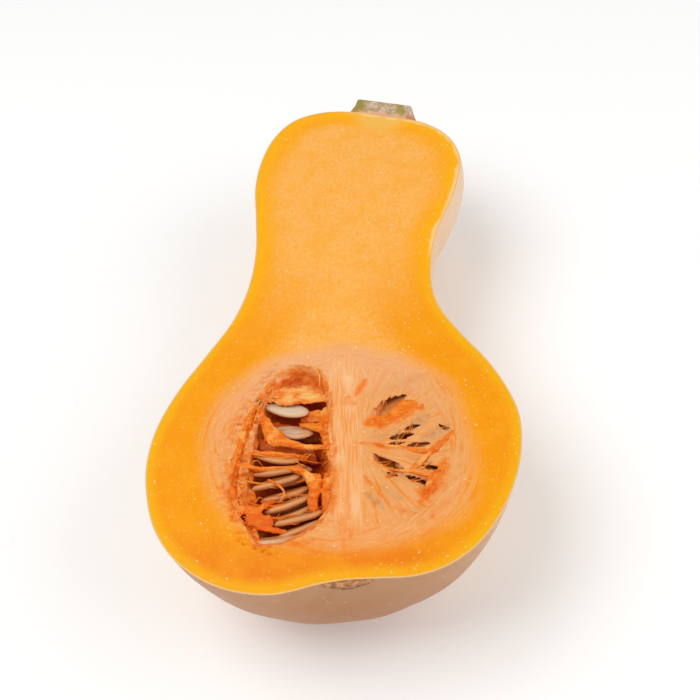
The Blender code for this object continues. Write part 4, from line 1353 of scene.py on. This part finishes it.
def lining_finish():
    mat, shader = new_material("wet_red_pulp", 0.42, subsurface=0.05)
    shader.inputs["Specular IOR Level"].default_value = 0.2
    strings = pattern(mat, 500.0, stretch=(0.4, 1, 1), detail=4.0)
    blotch = pattern(mat, 160.0, detail=3.0)
    top = two_tone(mat, strings, 0.35, 0.65, paint(242, 146, 66), paint(248, 192, 134))
    top = two_tone(mat, blotch, 0.45, 0.65, top, paint(242, 128, 30))
    middle = two_tone(mat, strings, 0.35, 0.65, paint(232, 112, 36), paint(244, 146, 62))
    place = place_on(mat)
    low = two_tone(mat, strings, 0.35, 0.65, paint(230, 110, 30), paint(246, 158, 78))
    top = two_tone(mat, place["Y"], -0.066, -0.082, top, low)
    colour = blend_colours(mat, depth_below(mat, 1.4, 4.5), top, middle)
    colour = blend_colours(mat, depth_below(mat, 5.0, 12.0), colour, paint(206, 76, 16))
    # painted shade: the crevices of the ledge are painted darker
    colour = blend_colours(mat, zone(mat, "groove"), colour, paint(168, 62, 14))
    link(mat, colour, shader.inputs["Base Color"])
    bump(mat, shader, strings, 0.6, 0.0006)
    return mat


def strand_finish():
    mat, shader = new_material("orange_pulp", 0.42, subsurface=0.06)
    shader.inputs["Specular IOR Level"].default_value = 0.2
    strings = pattern(mat, 760.0, stretch=(0.22, 1, 1), detail=5.0)
    blotch = pattern(mat, 180.0, detail=4.0)
    colour = two_tone(mat, strings, 0.35, 0.65, paint(232, 100, 10), paint(247, 142, 34))
    colour = two_tone(mat, blotch, 0.55, 0.68, colour, paint(250, 168, 76))
    colour = blend_colours(mat, depth_below(mat, 3.4, 8.0), colour, paint(204, 88, 20))
    place = place_on(mat)
    lower = two_tone(mat, place["Y"], -0.082, -0.094, colour, paint(232, 92, 10))
    colour = blend_colours(mat, 0.55, colour, lower)
    ledge = two_tone(mat, blotch, 0.35, 0.6, colour, paint(248, 184, 104))
    colour = two_tone(mat, place["Y"], -0.051, -0.046, colour, ledge)
    link(mat, colour, shader.inputs["Base Color"])
    bump(mat, shader, strings, 0.8, 0.0006)
    return mat


# %% Seed finish
def seed_finish():
    mat, shader = new_material("cream_seed_coat", 0.38, subsurface=0.05)
    shader.inputs["Specular IOR Level"].default_value = 0.35
    film = pattern(mat, 260.0, stretch=(0.35, 1, 1), detail=5.0, roughness=0.6)
    stained = band(mat, plus(mat, film, zone(mat, "stain"), 0.85), 0.62, 1.0)
    stain = two_tone(mat, film, 0.35, 0.65, paint(186, 106, 46), paint(214, 132, 62))
    colour = blend_colours(mat, stained, paint(222, 200, 170), stain)
    pale = blend_colours(mat, zone(mat, "border"), colour, paint(230, 170, 112))
    colour = blend_colours(mat, 0.5, colour, pale)
    colour = blend_colours(mat, depth_below(mat, 9.0, 18.0), colour, paint(160, 82, 34))
    link(mat, colour, shader.inputs["Base Color"])
    bump(mat, shader, pattern(mat, 900.0, stretch=(0.2, 1, 1)), 0.15, 0.0003)
    return mat


# %% [markdown]
# The stem is grey cork over green skin, with a tan foot. The scar is cork as well, and
# darker at its edge.

# %% Stem and scar finishes
def stem_finish():
    mat, shader = new_material("corky_stem", 0.8)
    cork = pattern(mat, 700.0, detail=5.0)
    patches = pattern(mat, 170.0, detail=3.0)
    tan = two_tone(mat, cork, 0.35, 0.65, paint(220, 194, 170), paint(180, 150, 122))
    colour = two_tone(mat, patches, 0.46, 0.66, tan, paint(172, 148, 84))
    place = place_on(mat)
    spotted = plus(mat, place["X"], patches, 0.008)
    colour = two_tone(mat, spotted, 0.0235, 0.0205, colour, paint(156, 138, 58))
    second = two_tone(mat, spotted, 0.0350, 0.0366, colour, paint(164, 144, 72))
    colour = two_tone(mat, spotted, 0.0398, 0.0386, colour, second)
    dots = pattern(mat, 900.0, detail=2.0)
    colour = two_tone(mat, dots, 0.66, 0.76, colour, paint(128, 84, 62))
    foot = add_node(mat, "ShaderNodeMath", operation="MULTIPLY_ADD")
    link(mat, place["X"], foot.inputs[0])
    foot.inputs[1].default_value = STEM_ALONG[0] * 0.42
    link(mat, place["Y"], foot.inputs[2])
    low = (STEM_SEAT[1] + STEM_SEAT[0] * STEM_ALONG[0] * 0.42) * MM
    root = two_tone(mat, place["X"], 0.0165, 0.0135, paint(224, 172, 130), paint(206, 120, 62))
    root = two_tone(mat, place["X"], 0.0345, 0.0370, root, paint(198, 128, 84))
    ragged_foot = plus(mat, foot.outputs[0], patches, 0.006)
    colour = two_tone(mat, ragged_foot, low + 0.0070, low + 0.0040, colour, root)
    link(mat, colour, shader.inputs["Base Color"])
    bump(mat, shader, cork, 0.7, 0.0006)
    return mat


def scar_finish():
    mat, shader = new_material("brown_cork", 0.85)
    cork = pattern(mat, 600.0, detail=5.0)
    colour = two_tone(mat, cork, 0.35, 0.65, paint(150, 92, 52), paint(204, 146, 100))
    colour = blend_colours(mat, depth_below(mat, 2.0, 3.4), colour, paint(120, 62, 28))
    link(mat, colour, shader.inputs["Base Color"])
    bump(mat, shader, cork, 0.8, 0.0006)
    return mat


# %% Give each piece its finish
finishes = {
    "rind": rind_finish(), "flesh": flesh_finish(), "stem": stem_finish(), "lining": lining_finish(),
    "strand": strand_finish(), "seed": seed_finish(), "scar": scar_finish(),
}
for piece, finish in ((rind, "rind"), (flesh, "flesh"), (web, "flesh"), (stem, "stem"), (scar, "scar"),
                      (pulp_left, "lining"), (pulp_right, "lining"), (sheets_left, "strand"),
                      (threads_left, "strand"),
                      (shreds_right, "strand"), (seeds_left, "seed"), (seeds_right, "seed")):
    piece.data.materials.clear()
    piece.data.materials.append(finishes[finish])
print("finishes:", ", ".join(finishes))

# %% [markdown]
# ## The stage
# The photograph is cut out on white with soft light from above and the left. A pale floor
# and large lamps give the same even light and a faint shadow.

# %% Floor and lights
bm = bmesh.new()
bmesh.ops.create_grid(bm, x_segments=1, y_segments=1, size=3.0)
floor = finished("floor", bm)
floor_mat, floor_shader = new_material("pale_floor", 0.9)
floor_cloud = pattern(floor_mat, 3.0)
link(floor_mat, blend_colours(floor_mat, floor_cloud, paint(248, 248, 247), paint(252, 252, 251)),
     floor_shader.inputs["Base Color"])
floor_shader.inputs["Emission Color"].default_value = (1.0, 1.0, 1.0, 1.0)
floor_shader.inputs["Emission Strength"].default_value = 0.07
floor.data.materials.append(floor_mat)


def add_lamp(name, place, power, size, aim=(0.0, -0.03, 0.03)):
    data = bpy.data.lights.new(name, "AREA")
    data.energy = power
    data.size = size
    lamp = bpy.data.objects.new(name, data)
    bpy.context.scene.collection.objects.link(lamp)
    direction = (Vector(aim) - Vector(place)).to_track_quat("-Z", "Y")
    lamp.matrix_world = Matrix.Translation(place) @ direction.to_matrix().to_4x4()
    return lamp


add_lamp("key", (-0.5, -0.05, 1.0), 6.4, 0.8)
add_lamp("fill", (0.9, -0.2, 0.6), 4.4, 0.9)
world = bpy.data.worlds.new("studio")
world.use_nodes = True
world.node_tree.nodes["Background"].inputs["Color"].default_value = (1.0, 1.0, 1.0, 1.0)
world.node_tree.nodes["Background"].inputs["Strength"].default_value = 0.46
bpy.context.scene.world = world
print("lamps: key and fill")

# %% [markdown]
# ## Tie the pieces to the solid model
# Every piece rides on the one body and stands for the solid that it was made from.

# %% Ride and replace
for piece, node, slot in (
    (rind, "fruit_half", "rind"), (flesh, "fruit_half", "flesh"), (scar, "fruit_half", "rind"),
    (stem, "stem", "stem"), (pulp_left, "pulp_left", "pulp"), (sheets_left, "pulp_left", "pulp"),
    (threads_left, "pulp_left", "pulp"), (seeds_left, "seeds_left", "seed_coat"),
    (web, "pulp_right", "pulp"), (pulp_right, "pulp_right", "pulp"),
    (shreds_right, "pulp_right", "pulp"),
    (seeds_right, "seeds_right", "seed_coat"),
):
    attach(piece, "root")
    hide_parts(node)

# %% Finish
print("finished")
